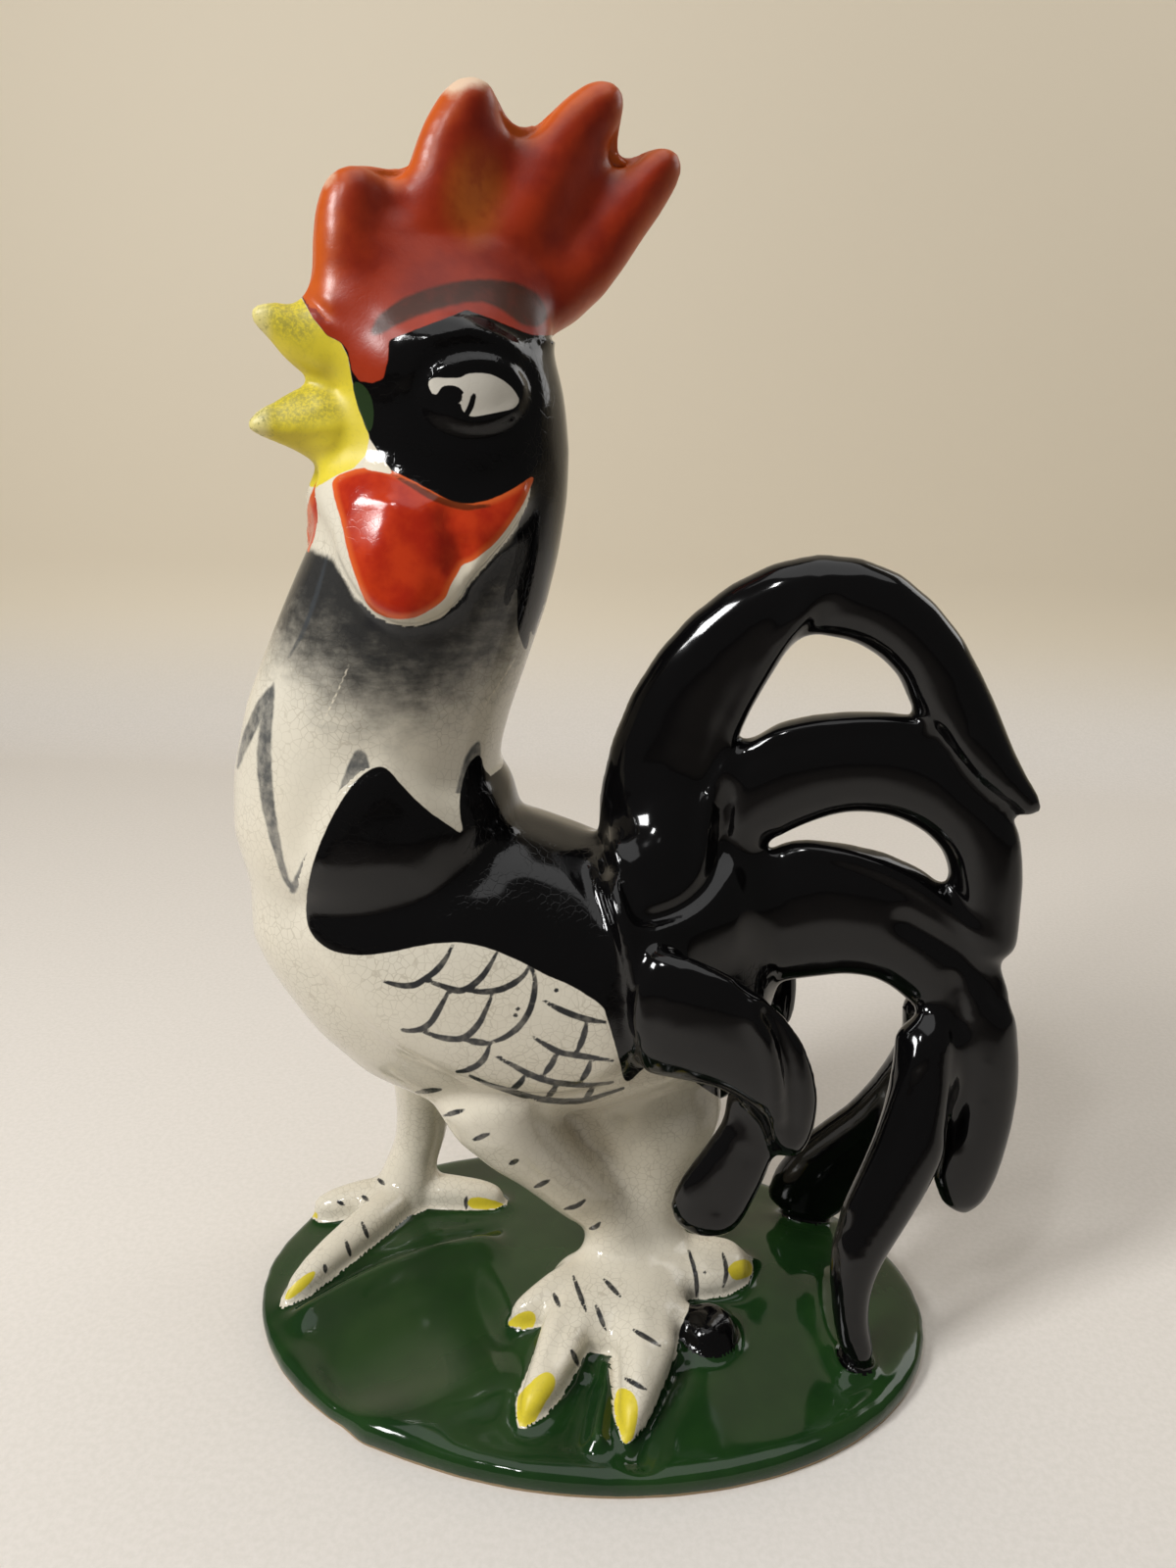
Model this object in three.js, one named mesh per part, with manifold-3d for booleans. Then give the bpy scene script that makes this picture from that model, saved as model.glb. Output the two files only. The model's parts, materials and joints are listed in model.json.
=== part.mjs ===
// A crowing porcelain rooster on a grass-green base, built from the pieces that a pottery casts or
// presses one by one and then joins with slip: a hollow torso, neck and head, solid legs and plumes,
// and sprigs such as the wattles and wings, all standing on a solid oval base.
//
// Millimetres, +Z up. The origin is the middle of the base's underside. The bird faces -X and its
// left side, the one with the wing toward the viewer, is -Y.

import * as THREE from 'three';
import { ParametricGeometry } from 'three/addons/geometries/ParametricGeometry.js';
import { mergeVertices } from 'three/addons/utils/BufferGeometryUtils.js';
import Module from 'manifold-3d';

const wasm = await Module();
wasm.setup();

// Driving dimensions

const slipSeam = 0.3;            // thickness of the slip joint between two pieces
const wingRelief = 2.6;          // how far a wing stands out of the torso
const capeRelief = 2.2;          // how far the cape on the back stands out
const combBandRelief = 2.4;      // how far the comb's foot stands out of the head
const wattleRelief = 3.8;        // how far a wattle stands out of the neck
const torsoWall = 4.5;           // cast wall of the torso
const neckWall = 4;              // cast wall of the neck and head
const ventHole = 3;              // drilled firing vent under the belly
const ventDrill = 40;            // length of the drill that makes it
const ventX = -32;

const baseLength = 168;
const baseWidth = 118;
const baseRimHeight = 5;         // height at which the rounded rim turns onto the top
const baseDome = 4;              // rise of the top from the rim to the middle
const baseFootInset = 1.6;       // how far the underside's edge lies inside the rim

const bodyPlane = 8;             // Y of the bird's middle plane, which the far side is mirrored in
const headTurn = 30;             // degrees that the head is turned to the bird's left
const headCentre = [-37, 2];     // X and Y of the line that the head turns about
const headSeamHeight = 198;      // height of the seam between the neck and the head
const wattleGap = 1.2;           // from the head's middle plane to each wattle
const wingReach = 10;            // how near to the middle plane a wing comes on the back
const capeOverlap = 12;          // how far the cape's block runs out over the wings
const capeFront = -26;
const capeBack = 3;
const capeTop = 140;
const ankleHeightLeft = 19;      // height of the seam between a foot and its leg
const ankleHeightRight = 17;

const combThickness = 9;         // thickness of the comb's blade at its lobes
const combFootGain = 0.95;       // how much thicker the blade is at its foot
const beakHalfWidth = 8.5;
const plumeThickness = 14;       // of the three great tail plumes
const standingPlumeThickness = 11;
const featherThickness = 9;      // of the saddle feathers
const toeHeight = 9;
const toeSkirt = 2.5;            // how far a toe's lower half is let down into the base
const toeRoundness = 0.6;        // how much taller than wide half a toe may be near its tip
const stoneWidth = 14;           // pebble behind the left foot
const stoneShape = [1, 1.05, 0.78];
const stonePlace = [30, -18.5];
const stoneLift = 1.2;           // height of its middle above the ground

const beyond = 200;              // reach of a cutting block, past the object on every side

// Small helpers

const LATERAL = new THREE.Vector3(0, 1, 0);
const UP = new THREE.Vector3(0, 0, 1);

const turned = (degrees) => new THREE.Vector3(
  -Math.sin(THREE.MathUtils.degToRad(degrees)),
  Math.cos(THREE.MathUtils.degToRad(degrees)),
  0,
);

const mirrored = (stations) => stations.map(([x, y, ...rest]) => [x, 2 * bodyPlane - y, ...rest]);

// A point of the turned head: u runs back along the head, v to its far side, z up.
function onHead([u, v, z, ...rest]) {
  const angle = THREE.MathUtils.degToRad(headTurn);
  const x = headCentre[0] + u * Math.cos(angle) - v * Math.sin(angle);
  const y = headCentre[1] + u * Math.sin(angle) + v * Math.cos(angle);
  return [x, y, z, ...rest];
}

function turnWithHead(geometry) {
  geometry.rotateZ(THREE.MathUtils.degToRad(headTurn));
  return geometry.translate(headCentre[0], headCentre[1], 0);
}

// Makes a solid of a closed geometry, with its faces turned outwards.
function toSolid(geometry) {
  const bare = geometry.clone();
  bare.deleteAttribute('normal');
  bare.deleteAttribute('uv');
  const merged = mergeVertices(bare, 1e-4);
  const index = merged.getIndex().array;
  const kept = [];
  for (let i = 0; i < index.length; i += 3) {
    const [a, b, c] = [index[i], index[i + 1], index[i + 2]];
    if (a !== b && b !== c && c !== a) kept.push(a, b, c);
  }
  const vertProperties = new Float32Array(merged.getAttribute('position').array);
  const build = (triangles) => new wasm.Manifold(new wasm.Mesh({
    numProp: 3,
    vertProperties,
    triVerts: new Uint32Array(triangles),
  }));
  const solid = build(kept);
  if (solid.volume() > 0) return solid;
  for (let i = 0; i < kept.length; i += 3) [kept[i], kept[i + 1]] = [kept[i + 1], kept[i]];
  return build(kept);
}

const join = (...solids) => solids.reduce((sum, next) => sum.add(next));
const cut = (solid, ...tools) => tools.reduce((rest, tool) => rest.subtract(tool), solid);

// The biggest of the bodies that a cut leaves; the rest are slivers inside a neighbour.
function biggest(solid) {
  const bodies = solid.decompose();
  return bodies.reduce((best, body) => (body.volume() > best.volume() ? body : best));
}

function box(low, high) {
  const size = high.map((value, i) => value - low[i]);
  const geometry = new THREE.BoxGeometry(...size);
  geometry.translate(...low.map((value, i) => value + size[i] / 2));
  return toSolid(geometry);
}

// A closed, round-ended body along a smooth line. A station is [x, y, z, halfWidth, halfThickness]
// and may end with a turn in degrees; the thickness lies along `across`, which the turn swings. A
// skirt lets the lower half of each section down by that much.
function sweep(stations, options = {}) {
  const { across = LATERAL, grow = 0, around = 16, along = 20 } = options;
  const { startCap = 0.6, endCap = 0.6, skirt = 0 } = options;
  const line = new THREE.CatmullRomCurve3(
    stations.map(([x, y, z]) => new THREE.Vector3(x, y, z)), false, 'catmullrom', 0.5);
  const sizes = new THREE.CatmullRomCurve3(
    stations.map(([, , , width, thickness, turn = 0]) => new THREE.Vector3(width, thickness, turn)),
    false, 'catmullrom', 0.5);
  const last = stations.length - 1;
  const round = (distance, cap) => {
    const share = Math.min(distance / cap, 1);
    return Math.sqrt(Math.max(1 - (1 - share) ** 2, 0));
  };
  const surface = (u, v, target) => {
    const centre = line.getPoint(v);
    const size = sizes.getPoint(v);
    const tangent = line.getTangent(Math.min(Math.max(v, 1e-4), 1 - 1e-4));
    const lateral = size.z === 0 ? across : turned(size.z);
    const thick = lateral.clone().addScaledVector(tangent, -lateral.dot(tangent)).normalize();
    const wide = tangent.clone().cross(thick);
    const atStart = round(v * last, startCap);
    const atEnd = round((1 - v) * last, endCap);
    const end = atStart * atEnd;
    const angle = 2 * Math.PI * (u % 1);
    target.copy(centre);
    target.addScaledVector(wide, (size.x + grow) * end * Math.cos(angle));
    target.addScaledVector(thick, (size.y + grow) * end * Math.sin(angle));
    target.addScaledVector(tangent, grow * (atStart - atEnd));
    if (Math.sin(angle) < -0.01) target.z -= skirt * end;
  };
  return toSolid(new ParametricGeometry(surface, around, along));
}

// A smooth closed outline through points of the side view.
function outlineShape(points, steps) {
  const line = new THREE.CatmullRomCurve3(
    points.map(([x, z]) => new THREE.Vector3(x, z, 0)), true, 'centripetal');
  return new THREE.Shape(line.getPoints(steps).slice(0, -1).map((p) => new THREE.Vector2(p.x, p.y)));
}

// An outline of the side view, as a prism from one Y to another.
function prismGeometry(points, nearY, farY, steps = 3 * points.length) {
  const geometry = new THREE.ExtrudeGeometry(outlineShape(points, steps), {
    depth: farY - nearY,
    bevelEnabled: false,
  });
  geometry.rotateX(Math.PI / 2);
  return geometry.translate(0, farY, 0);
}

// Base

const humps = [
  { at: [0, -16], rise: 2.4, spread: 24 },     // under the left foot
  { at: [-60, 14], rise: 1.8, spread: 20 },    // under the right foot
  { at: [56, 8], rise: 3.5, spread: 22 },      // where the tail stands
];

function baseTop(x, y) {
  const radius = Math.hypot(x / (baseLength / 2), y / (baseWidth / 2));
  let height = baseRimHeight + baseDome * (1 - Math.min(radius, 1) ** 2);
  for (const { at, rise, spread } of humps) {
    const distance = Math.hypot(x - at[0], y - at[1]) / spread;
    height += rise * Math.exp(-distance * distance) * (1 - Math.min(radius, 1) ** 4);
  }
  return height;
}

// The base is spun up ring by ring: the flat underside, the rounded rim and the domed top.
function baseGeometry() {
  const sideRings = 3;
  const topRings = 7;
  const rimArc = 0.62 * Math.PI;
  const topInset = 0.3 * baseFootInset;
  const rings = [{ share: 0, inset: baseFootInset, z: 0 }, { share: 1, inset: baseFootInset, z: 0 }];
  for (let i = 1; i <= sideRings; i += 1) {
    const turn = (rimArc * i) / sideRings;
    const inset = baseFootInset * (1 - Math.sin(turn));
    rings.push({ share: 1, inset, z: baseRimHeight * (i / sideRings) });
  }
  for (let i = 1; i <= topRings; i += 1) {
    rings.push({ share: 1 - i / topRings, inset: topInset });
  }
  const surface = (u, v, target) => {
    const { share, inset, z } = rings[Math.round(v * (rings.length - 1))];
    const angle = 2 * Math.PI * (u % 1);
    const x = (baseLength / 2 - inset) * share * Math.cos(angle);
    const y = (baseWidth / 2 - inset) * share * Math.sin(angle);
    target.set(x, y, z === undefined ? baseTop(x, y) : z);
  };
  return new ParametricGeometry(surface, 44, rings.length - 1);
}

const base = toSolid(baseGeometry());
const baseSeat = base.translate([0, 0, slipSeam]).add(base);

// Torso, neck and head

const torsoStations = [
  [44, 11, 87, 12, 12],
  [33, 10, 87, 19, 19],
  [17, 9, 87, 26.5, 25],
  [0, 8, 88, 33, 29.5],
  [-20, 7, 90, 36.5, 32],
  [-38, 5, 96.5, 36, 32],
  [-53, 3, 106.5, 30, 29],
  [-64, 1, 115, 24, 24],
  [-71.5, -1, 121, 17, 17],
  [-76.5, -2, 124, 10, 10],
];
const neckStations = [
  [-50, 3, 110, 31, 29, 12],
  [-51.5, 3, 126, 32, 29.5, 14],
  [-52, 2.5, 141, 30, 27.5, 17],
  [-48, 2, 156, 28, 25, 20],
  [-42.5, 1.5, 170, 27, 23.5, 24],
  [-36.5, 2.5, 185, 26.3, 22.5, 28],
  [-32.7, 4.5, 200, 25.5, 22, 30],
  [-31.8, 5, 212, 24.8, 22, 30],
  [-32.7, 4.5, 224, 23.5, 21, 30],
  [-33.5, 4, 235, 21, 18, 30],
  [-34.4, 3.5, 246, 15, 12.5, 30],
];

const torsoSkin = (grow, detail = {}) => sweep(torsoStations, {
  grow, around: 22, along: 16, startCap: 1, endCap: 1, ...detail });
const neckSkin = (grow, detail = {}) => sweep(neckStations, {
  grow, around: 20, along: 16, startCap: 0.8, endCap: 1, ...detail });
const innerDetail = { around: 12, along: 10 };
const bodySkin = (grow) => join(torsoSkin(grow), neckSkin(grow));

const torsoBody = torsoSkin(0);
const neckBody = neckSkin(0);
const neckBore = neckSkin(-neckWall, innerDetail);
const bodySeat = bodySkin(slipSeam);

const [, , bellyAxis, bellyDepth] = torsoStations[5];
const ventGeometry = new THREE.CylinderGeometry(ventHole / 2, ventHole / 2, ventDrill, 12);
ventGeometry.rotateX(Math.PI / 2);
ventGeometry.translate(ventX, bodyPlane, bellyAxis - bellyDepth);
const torso = cut(torsoBody, torsoSkin(-torsoWall, innerDetail), neckBore, toSolid(ventGeometry));

const belowHeadSeam = box([-beyond, -beyond, 0], [beyond, beyond, headSeamHeight]);
const aboveHeadSeam = box(
  [-beyond, -beyond, headSeamHeight + slipSeam], [beyond, beyond, 2 * beyond]);
const neck = biggest(cut(neckBody, torsoSkin(slipSeam), neckBore).intersect(belowHeadSeam));
const head = cut(neckBody, neckBore).intersect(aboveHeadSeam);

// Beak, comb and wattles, in the head's own plane

const beakUpperStations = [
  [-11, 0, 228.5, 9.5, beakHalfWidth],
  [-18, 0, 229.5, 8.6, beakHalfWidth],
  [-24, 0, 231.1, 6.6, 6],
  [-30, 0, 233.7, 3.6, 3.6],
  [-35, 0, 235.2, 1.3, 1.3],
].map(onHead);
const beakLowerStations = [
  [-10, 0, 213.2, 8.2, beakHalfWidth],
  [-17, 0, 213.5, 9.2, beakHalfWidth],
  [-23.5, 0, 215, 7.6, 6.4],
  [-30, 0, 214.9, 4.5, 4],
  [-37, 0, 214.3, 1.2, 1.2],
].map(onHead);
const beakOptions = { across: turned(headTurn), around: 12, along: 10, startCap: 0.3, endCap: 0.5 };
const beakUpperBody = sweep(beakUpperStations, beakOptions);
const beakUpperSeat = sweep(beakUpperStations, { ...beakOptions, grow: slipSeam });
const beakUpper = biggest(cut(beakUpperBody, bodySeat));
const beakLowerBody = sweep(beakLowerStations, beakOptions);
const beakLowerSeat = sweep(beakLowerStations, { ...beakOptions, grow: slipSeam });
const beakLower = biggest(cut(beakLowerBody, bodySeat, beakUpperSeat));

const combOutline = [
  [-23.6, 236.5], [-21.8, 243], [-20.4, 254], [-16.4, 260.8], [-10, 262.4], [-4, 262.2], [2, 272],
  [8, 278.8], [14, 279.2], [17.6, 274], [21.3, 271.8], [29, 276.6], [36.6, 281.6], [42, 281.8],
  [43.7, 278], [42.4, 269.2], [44.6, 268.4], [51.4, 271.2], [56.6, 270.4], [57, 265], [49, 253.6],
  [39, 241], [27, 232.6], [8, 230], [-14, 229],
];
const combBandOutline = [
  [-24, 236.5], [-23.6, 233.5], [-20.5, 230.6], [-17.5, 228.5], [-16, 224.2], [-12.6, 222.6],
  [-9.6, 224.6], [-8.8, 229.5], [-4, 232], [3, 234.6], [10, 236.8], [16, 235], [21, 232.6],
  [26, 232.5], [32, 238], [20, 262], [-12, 262], [-22, 250],
];

function combBlade() {
  const bevel = 2.4;
  const bevelWidth = 1.8;
  const taperTop = 268;          // above this height the blade has its plain thickness
  const taperHeight = 34;        // the height over which it thickens to its foot
  const geometry = new THREE.ExtrudeGeometry(outlineShape(combOutline, 50), {
    depth: combThickness - 2 * bevel,
    bevelThickness: bevel,
    bevelSize: bevelWidth,
    bevelOffset: -bevelWidth,
    bevelSegments: 2,
  });
  geometry.rotateX(Math.PI / 2);
  geometry.translate(0, combThickness / 2 - bevel, 0);
  const position = geometry.getAttribute('position');
  for (let i = 0; i < position.count; i += 1) {
    const share = THREE.MathUtils.clamp((taperTop - position.getZ(i)) / taperHeight, 0, 1);
    position.setY(i, position.getY(i) * (1 + combFootGain * share * share));
  }
  return toSolid(turnWithHead(geometry));
}

const headPrism = (points, nearV, farV) => toSolid(turnWithHead(prismGeometry(points, nearV, farV)));
const combBand = neckSkin(combBandRelief).intersect(headPrism(combBandOutline, -beyond, beyond));
const comb = biggest(cut(join(combBlade(), combBand), bodySeat, beakUpperSeat));

const wattleOutline = [
  [-24.6, 204.4], [-20, 206], [-15, 205.6], [-9, 202.4], [-2, 199.6], [5, 199.4], [13.5, 203.6],
  [15, 205], [12, 198], [6.5, 191.5], [1, 186], [-3, 181.4], [-8, 178.6], [-13, 178.2], [-18, 181],
  [-21.5, 187], [-23.6, 196],
];
const wattlePrism = (near, far) => headPrism(wattleOutline, near, far);
const wattleBody = neckSkin(wattleRelief);
const wattleOn = (prism) => biggest(cut(wattleBody.intersect(prism), bodySeat, beakLowerSeat));
const wattleLeft = wattleOn(wattlePrism(-beyond, -wattleGap));
const wattleRight = wattleOn(wattlePrism(wattleGap, beyond));

// Wings and the cape between them

const wingOutline = [
  [-43, 147], [-49, 143.5], [-55.5, 133], [-60, 121], [-61, 112], [-57.5, 104], [-51, 96],
  [-43, 87.5], [-34, 81.5], [-24, 76.5], [-13, 73.4], [-2, 73.6], [6, 76.5], [9.4, 84], [8.6, 100],
  [5, 114], [-3, 122], [-13, 128], [-23, 136], [-33, 141],
];
const wingSkin = bodySkin(wingRelief);
const wingOn = (nearY, farY) => biggest(
  cut(wingSkin.intersect(toSolid(prismGeometry(wingOutline, nearY, farY))), bodySeat));
const wingLeft = wingOn(-beyond, bodyPlane - wingReach);
const wingRight = wingOn(bodyPlane + wingReach, beyond);
const wingSeat = (grow) => join(
  bodySkin(wingRelief + grow).intersect(
    toSolid(prismGeometry(wingOutline, -beyond, bodyPlane - wingReach + grow))),
  bodySkin(wingRelief + grow).intersect(
    toSolid(prismGeometry(wingOutline, bodyPlane + wingReach - grow, beyond))));
const wingClearance = wingSeat(slipSeam);

const [, , backAxis] = torsoStations[3];
const capeLow = [capeFront, bodyPlane - wingReach - capeOverlap, backAxis];
const capeHigh = [capeBack, bodyPlane + wingReach + capeOverlap, capeTop];
const capeBlock = box(capeLow, capeHigh);
const cape = biggest(cut(bodySkin(capeRelief).intersect(capeBlock), bodySeat, wingClearance));
const capeSeat = bodySkin(capeRelief + slipSeam).intersect(
  box(capeLow, [capeHigh[0] + slipSeam, ...capeHigh.slice(1)]));

// Tail: the root, three great plumes, two plumes that stand on the base and the saddle feathers

const rootStations = [
  [4, 8, 102, 29, 30],
  [14, 8, 104, 27, 27],
  [27, 8, 108, 22, 18],
  [42, 8, 113, 14, 10],
];
const halfPlume = plumeThickness / 2;
const plumeTopStations = [
  [14, 8, 112, 14, halfPlume + 1],
  [13.5, 8, 132, 14, halfPlume + 1],
  [17, 8, 150, 13, halfPlume],
  [24.5, 8, 165, 11.5, halfPlume],
  [35, 8, 176.3, 9.6, halfPlume],
  [47, 8, 180.6, 9.2, halfPlume],
  [59, 8, 178.5, 8.8, halfPlume],
  [70, 8, 169.8, 8, halfPlume],
  [77.3, 8, 157.5, 8.4, halfPlume],
  [84, 7, 146.5, 7.4, halfPlume],
  [92, 5, 138.6, 4.4, 4.4],
  [98.4, 3, 135, 1.8, 2],
];
const plumeMiddleStations = [
  [20, 8, 120, 10, halfPlume],
  [30, 8, 132, 12, halfPlume],
  [41, 8, 139.5, 12.5, halfPlume],
  [54, 8, 143.5, 11.8, halfPlume],
  [67, 8, 143, 11.5, halfPlume],
  [78, 8, 137.5, 10.5, halfPlume],
  [85.5, 8, 128.5, 9, halfPlume],
  [88.5, 8, 118.5, 8.3, halfPlume],
  [89.5, 8, 107, 7.8, halfPlume],
  [91, 7, 95, 6.5, halfPlume],
];
const plumeLowerStations = [
  [22, 8, 96, 14, halfPlume + 2],
  [37, 8, 103.5, 16, halfPlume + 1],
  [50, 8, 107.5, 17, halfPlume],
  [62, 8, 107.5, 16, halfPlume],
  [74, 8, 102.5, 14, halfPlume],
  [84, 7, 92, 11.5, halfPlume],
  [90, 5, 80, 9.4, halfPlume],
  [91.8, 3, 66, 8.8, 6],
  [91.2, 1, 54, 8, 5],
  [89.6, 0, 43, 7.4, 4],
  [91, 0, 32.5, 3, 2.4],
];
const halfStanding = standingPlumeThickness / 2;
const standingLeftStations = [
  [79, 3, 90, 8.5, halfStanding],
  [78, -2, 72, 8.4, halfStanding],
  [74.5, -8, 56, 8, halfStanding],
  [68.5, -12.5, 44, 7.6, halfStanding],
  [63.5, -16, 33.5, 6.4, halfStanding],
  [62.3, -18.5, 23, 4.6, 5],
  [63.6, -20.5, 13, 4, 4.5],
  [67.5, -23, 5, 3.4, 3.6],
];
const standingRightStations = [
  [80, 12, 90, 8, halfStanding],
  [82.5, 16, 76, 7.8, halfStanding],
  [82, 20, 65, 8, halfStanding],
  [78, 23.5, 51.5, 8.6, halfStanding],
  [72, 26, 39.5, 9.4, halfStanding],
  [64.5, 28.5, 29, 10.4, halfStanding],
  [58, 30, 18, 11, halfStanding],
  [55, 31, 5, 10.5, halfStanding],
];
const halfFeather = featherThickness / 2;
const upperFeatherStations = [
  [8, -18, 94, 17, 6],
  [21, -21, 93, 14.5, 6],
  [34, -22, 88, 12.5, halfFeather],
  [42.8, -21.5, 77.5, 8.4, halfFeather],
  [45.4, -20, 67, 5.4, halfFeather],
  [45, -19, 59, 2.8, 3],
];
const hookFeatherStations = [
  [37, -16, 78, 6.5, halfFeather],
  [37.5, -17.5, 66, 6.8, halfFeather],
  [33.5, -19, 56, 8, halfFeather],
  [28.6, -20, 46, 8.8, halfFeather],
  [27, -20.5, 38, 6.4, halfFeather],
];

const plumeOptions = { around: 12, along: 20 };
const featherOptions = { around: 12, along: 12 };
const rootOptions = { around: 22, along: 10, startCap: 0.4, endCap: 0.9 };
const tailRootBody = sweep(rootStations, rootOptions);
const tailRoot = biggest(cut(tailRootBody, bodySeat, wingClearance, capeSeat));
const rootSeat = sweep(rootStations, { ...rootOptions, grow: slipSeam });

const carriers = [bodySeat, wingClearance, capeSeat, rootSeat];
const seatOf = (stations, options) => sweep(stations, { ...options, grow: slipSeam });

const plumeTop = biggest(cut(sweep(plumeTopStations, plumeOptions), ...carriers));
const plumeTopSeat = seatOf(plumeTopStations, plumeOptions);
const plumeLower = biggest(cut(sweep(plumeLowerStations, plumeOptions), ...carriers, plumeTopSeat));
const plumeLowerSeat = seatOf(plumeLowerStations, plumeOptions);
const plumeMiddle = biggest(
  cut(sweep(plumeMiddleStations, plumeOptions), ...carriers, plumeTopSeat, plumeLowerSeat));

const standingOptions = { around: 12, along: 14 };
const standingLeftSeat = seatOf(standingLeftStations, standingOptions);
const standingLeft = biggest(cut(sweep(standingLeftStations, standingOptions), plumeLowerSeat, baseSeat));
const standingRight = biggest(
  cut(sweep(standingRightStations, standingOptions), plumeLowerSeat, standingLeftSeat, baseSeat));

function saddleFeathers(side) {
  const place = side === 'left' ? (stations) => stations : mirrored;
  const upperStations = place(upperFeatherStations);
  const hookStations = place(hookFeatherStations);
  const upper = biggest(
    cut(sweep(upperStations, featherOptions), ...carriers, plumeLowerSeat));
  const upperSeat = seatOf(upperStations, featherOptions);
  const hook = biggest(cut(sweep(hookStations, featherOptions), ...carriers, plumeLowerSeat, upperSeat));
  return { upper, hook, upperSeat, hookSeat: seatOf(hookStations, featherOptions) };
}
const feathersLeft = saddleFeathers('left');
const feathersRight = saddleFeathers('right');

// Legs, feet and the pillar under the rump

const legLeftStations = [
  [-24, -9, 74, 18.5, 14],
  [-20.5, -9, 60, 12.6, 12.5],
  [-11.5, -6.5, 47.5, 8.6, 10],
  [-3.5, -3, 37, 7.8, 8.4],
  [4.5, 0.5, 26.5, 7.2, 7.8],
  [7, 0, 16, 8.4, 8.6],
  [5, -6, 9, 10, 10],
];
const legRightStations = [
  [-44, 21, 70, 14, 13],
  [-46, 24, 54, 10.5, 10.5],
  [-48, 27, 40, 7.8, 8.2],
  [-49.5, 28.5, 28, 7, 7.4],
  [-51.7, 28, 20, 6.8, 7.2],
  [-54.2, 25, 9, 8.8, 8.8],
  [-55, 24.5, 2, 9.4, 9.4],
];
const pillarStations = [
  [9, 8, 76, 24, 14],
  [8.5, 8, 58, 23.3, 12],
  [11, 8, 50, 21.6, 10.5],
  [12, 8, 40, 16, 9],
  [13.6, 7.5, 30, 9.6, 8],
  [15, 7, 20, 8.4, 8],
  [15, 6, 9, 10, 9],
];
const legOptions = { around: 14, along: 12 };
const aboveSeam = (height) => box(
  [-beyond, -beyond, height + slipSeam / 2], [beyond, beyond, beyond]);
const belowSeam = (height) => box(
  [-beyond, -beyond, -beyond], [beyond, beyond, height - slipSeam / 2]);

const legLeftBody = sweep(legLeftStations, legOptions);
const legRightBody = sweep(legRightStations, legOptions);
const legLeft = biggest(cut(legLeftBody, bodySeat, wingClearance).intersect(aboveSeam(ankleHeightLeft)));
const legRight = biggest(cut(legRightBody, bodySeat, wingClearance).intersect(aboveSeam(ankleHeightRight)));

// A toe follows the ground: a plan point is [x, y, halfWidth, lift above the base's top]. Its sides
// run steeply down into the base, as a mould has no undercut there.
function toe(points) {
  const stations = points.map(([x, y, halfWidth, lift]) => [
    x, y, baseTop(x, y) + lift, halfWidth, Math.min(toeHeight / 2, halfWidth + toeRoundness)]);
  return sweep(stations, { across: UP, around: 10, along: 7, skirt: toeSkirt });
}
const toesLeft = [
  [[4, -6, 6.5, 4], [-4.5, -12.5, 5, 3.8], [-11, -18.5, 4, 3], [-17.6, -22, 2.2, 1.4]],
  [[3, -8, 6.5, 4], [-2.6, -24, 6, 3.8], [-6, -37, 4.6, 3], [-10.6, -49, 2.2, 1.4]],
  [[10, -8, 8, 4], [15, -24, 8, 3.8], [14.6, -37, 4.8, 3], [12.4, -50.4, 2.2, 1.4]],
  [[9, 0, 8, 4], [20, 0.5, 10, 3.8], [31, 2, 9.6, 3], [41.6, 5.6, 5, 1.8]],
  [[8, 4, 11, 4], [8, -8, 17, 3.8], [7, -19, 16, 3.2], [4, -29, 9, 2.2]],
];
const toesRight = [
  [[-53, 25, 6, 3.8], [-60, 9, 5.2, 3.5], [-68, -5, 4.4, 2.6], [-74.6, -18, 2.4, 1.2]],
  [[-54, 25, 6, 3.8], [-66, 21, 5.2, 3.4], [-73, 18.4, 4.2, 2.6], [-77.6, 17, 2.4, 1.6]],
  [[-53, 27, 6, 3.8], [-57.6, 31.6, 5, 3.4], [-60.4, 34.6, 2.6, 1.6]],
  [[-51, 26, 6, 3.8], [-41, 25.6, 5, 3.2], [-32, 25.4, 4, 2.4], [-25, 25.2, 2.4, 1.4]],
];
const footOf = (legBody, toes, height) => biggest(
  cut(join(legBody.intersect(belowSeam(height)), ...toes.map(toe).map(
    (solid) => solid.intersect(belowSeam(height)))), baseSeat));
const footLeft = footOf(legLeftBody, toesLeft, ankleHeightLeft);
const footRight = footOf(legRightBody, toesRight, ankleHeightRight);

const legLeftSeat = sweep(legLeftStations, { ...legOptions, grow: slipSeam });
const footLeftSeat = join(...toesLeft.map((points) => toe(
  points.map(([x, y, halfWidth, lift]) => [x, y, halfWidth + slipSeam, lift]))));
const footLeftClearance = join(footLeftSeat, footLeftSeat.translate([0, 0, slipSeam]));
const pillar = biggest(cut(sweep(pillarStations, legOptions), ...carriers, baseSeat, legLeftSeat,
  footLeftClearance, feathersLeft.upperSeat, feathersLeft.hookSeat, feathersRight.upperSeat,
  feathersRight.hookSeat));

const stoneGeometry = new THREE.IcosahedronGeometry(stoneWidth / 2, 1);
stoneGeometry.scale(...stoneShape);
stoneGeometry.translate(...stonePlace, baseTop(...stonePlace) + stoneLift);
const stone = biggest(cut(toSolid(stoneGeometry), baseSeat, footLeftClearance));

// Finishes

const glaze = (color, roughness) => new THREE.MeshStandardMaterial({ color, roughness, metalness: 0 });
const creamGlaze = glaze(0xe4dcc6, 0.2);
const blackGlaze = glaze(0x0c0b0c, 0.1);
const greenGlaze = glaze(0x1d3a1c, 0.15);
const redGlaze = glaze(0x9c2410, 0.4);
const wattleGlaze = glaze(0xb5300f, 0.15);
const beakGlaze = glaze(0xd9c83c, 0.45);

// The assembly

const rooster = new THREE.Group();

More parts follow.
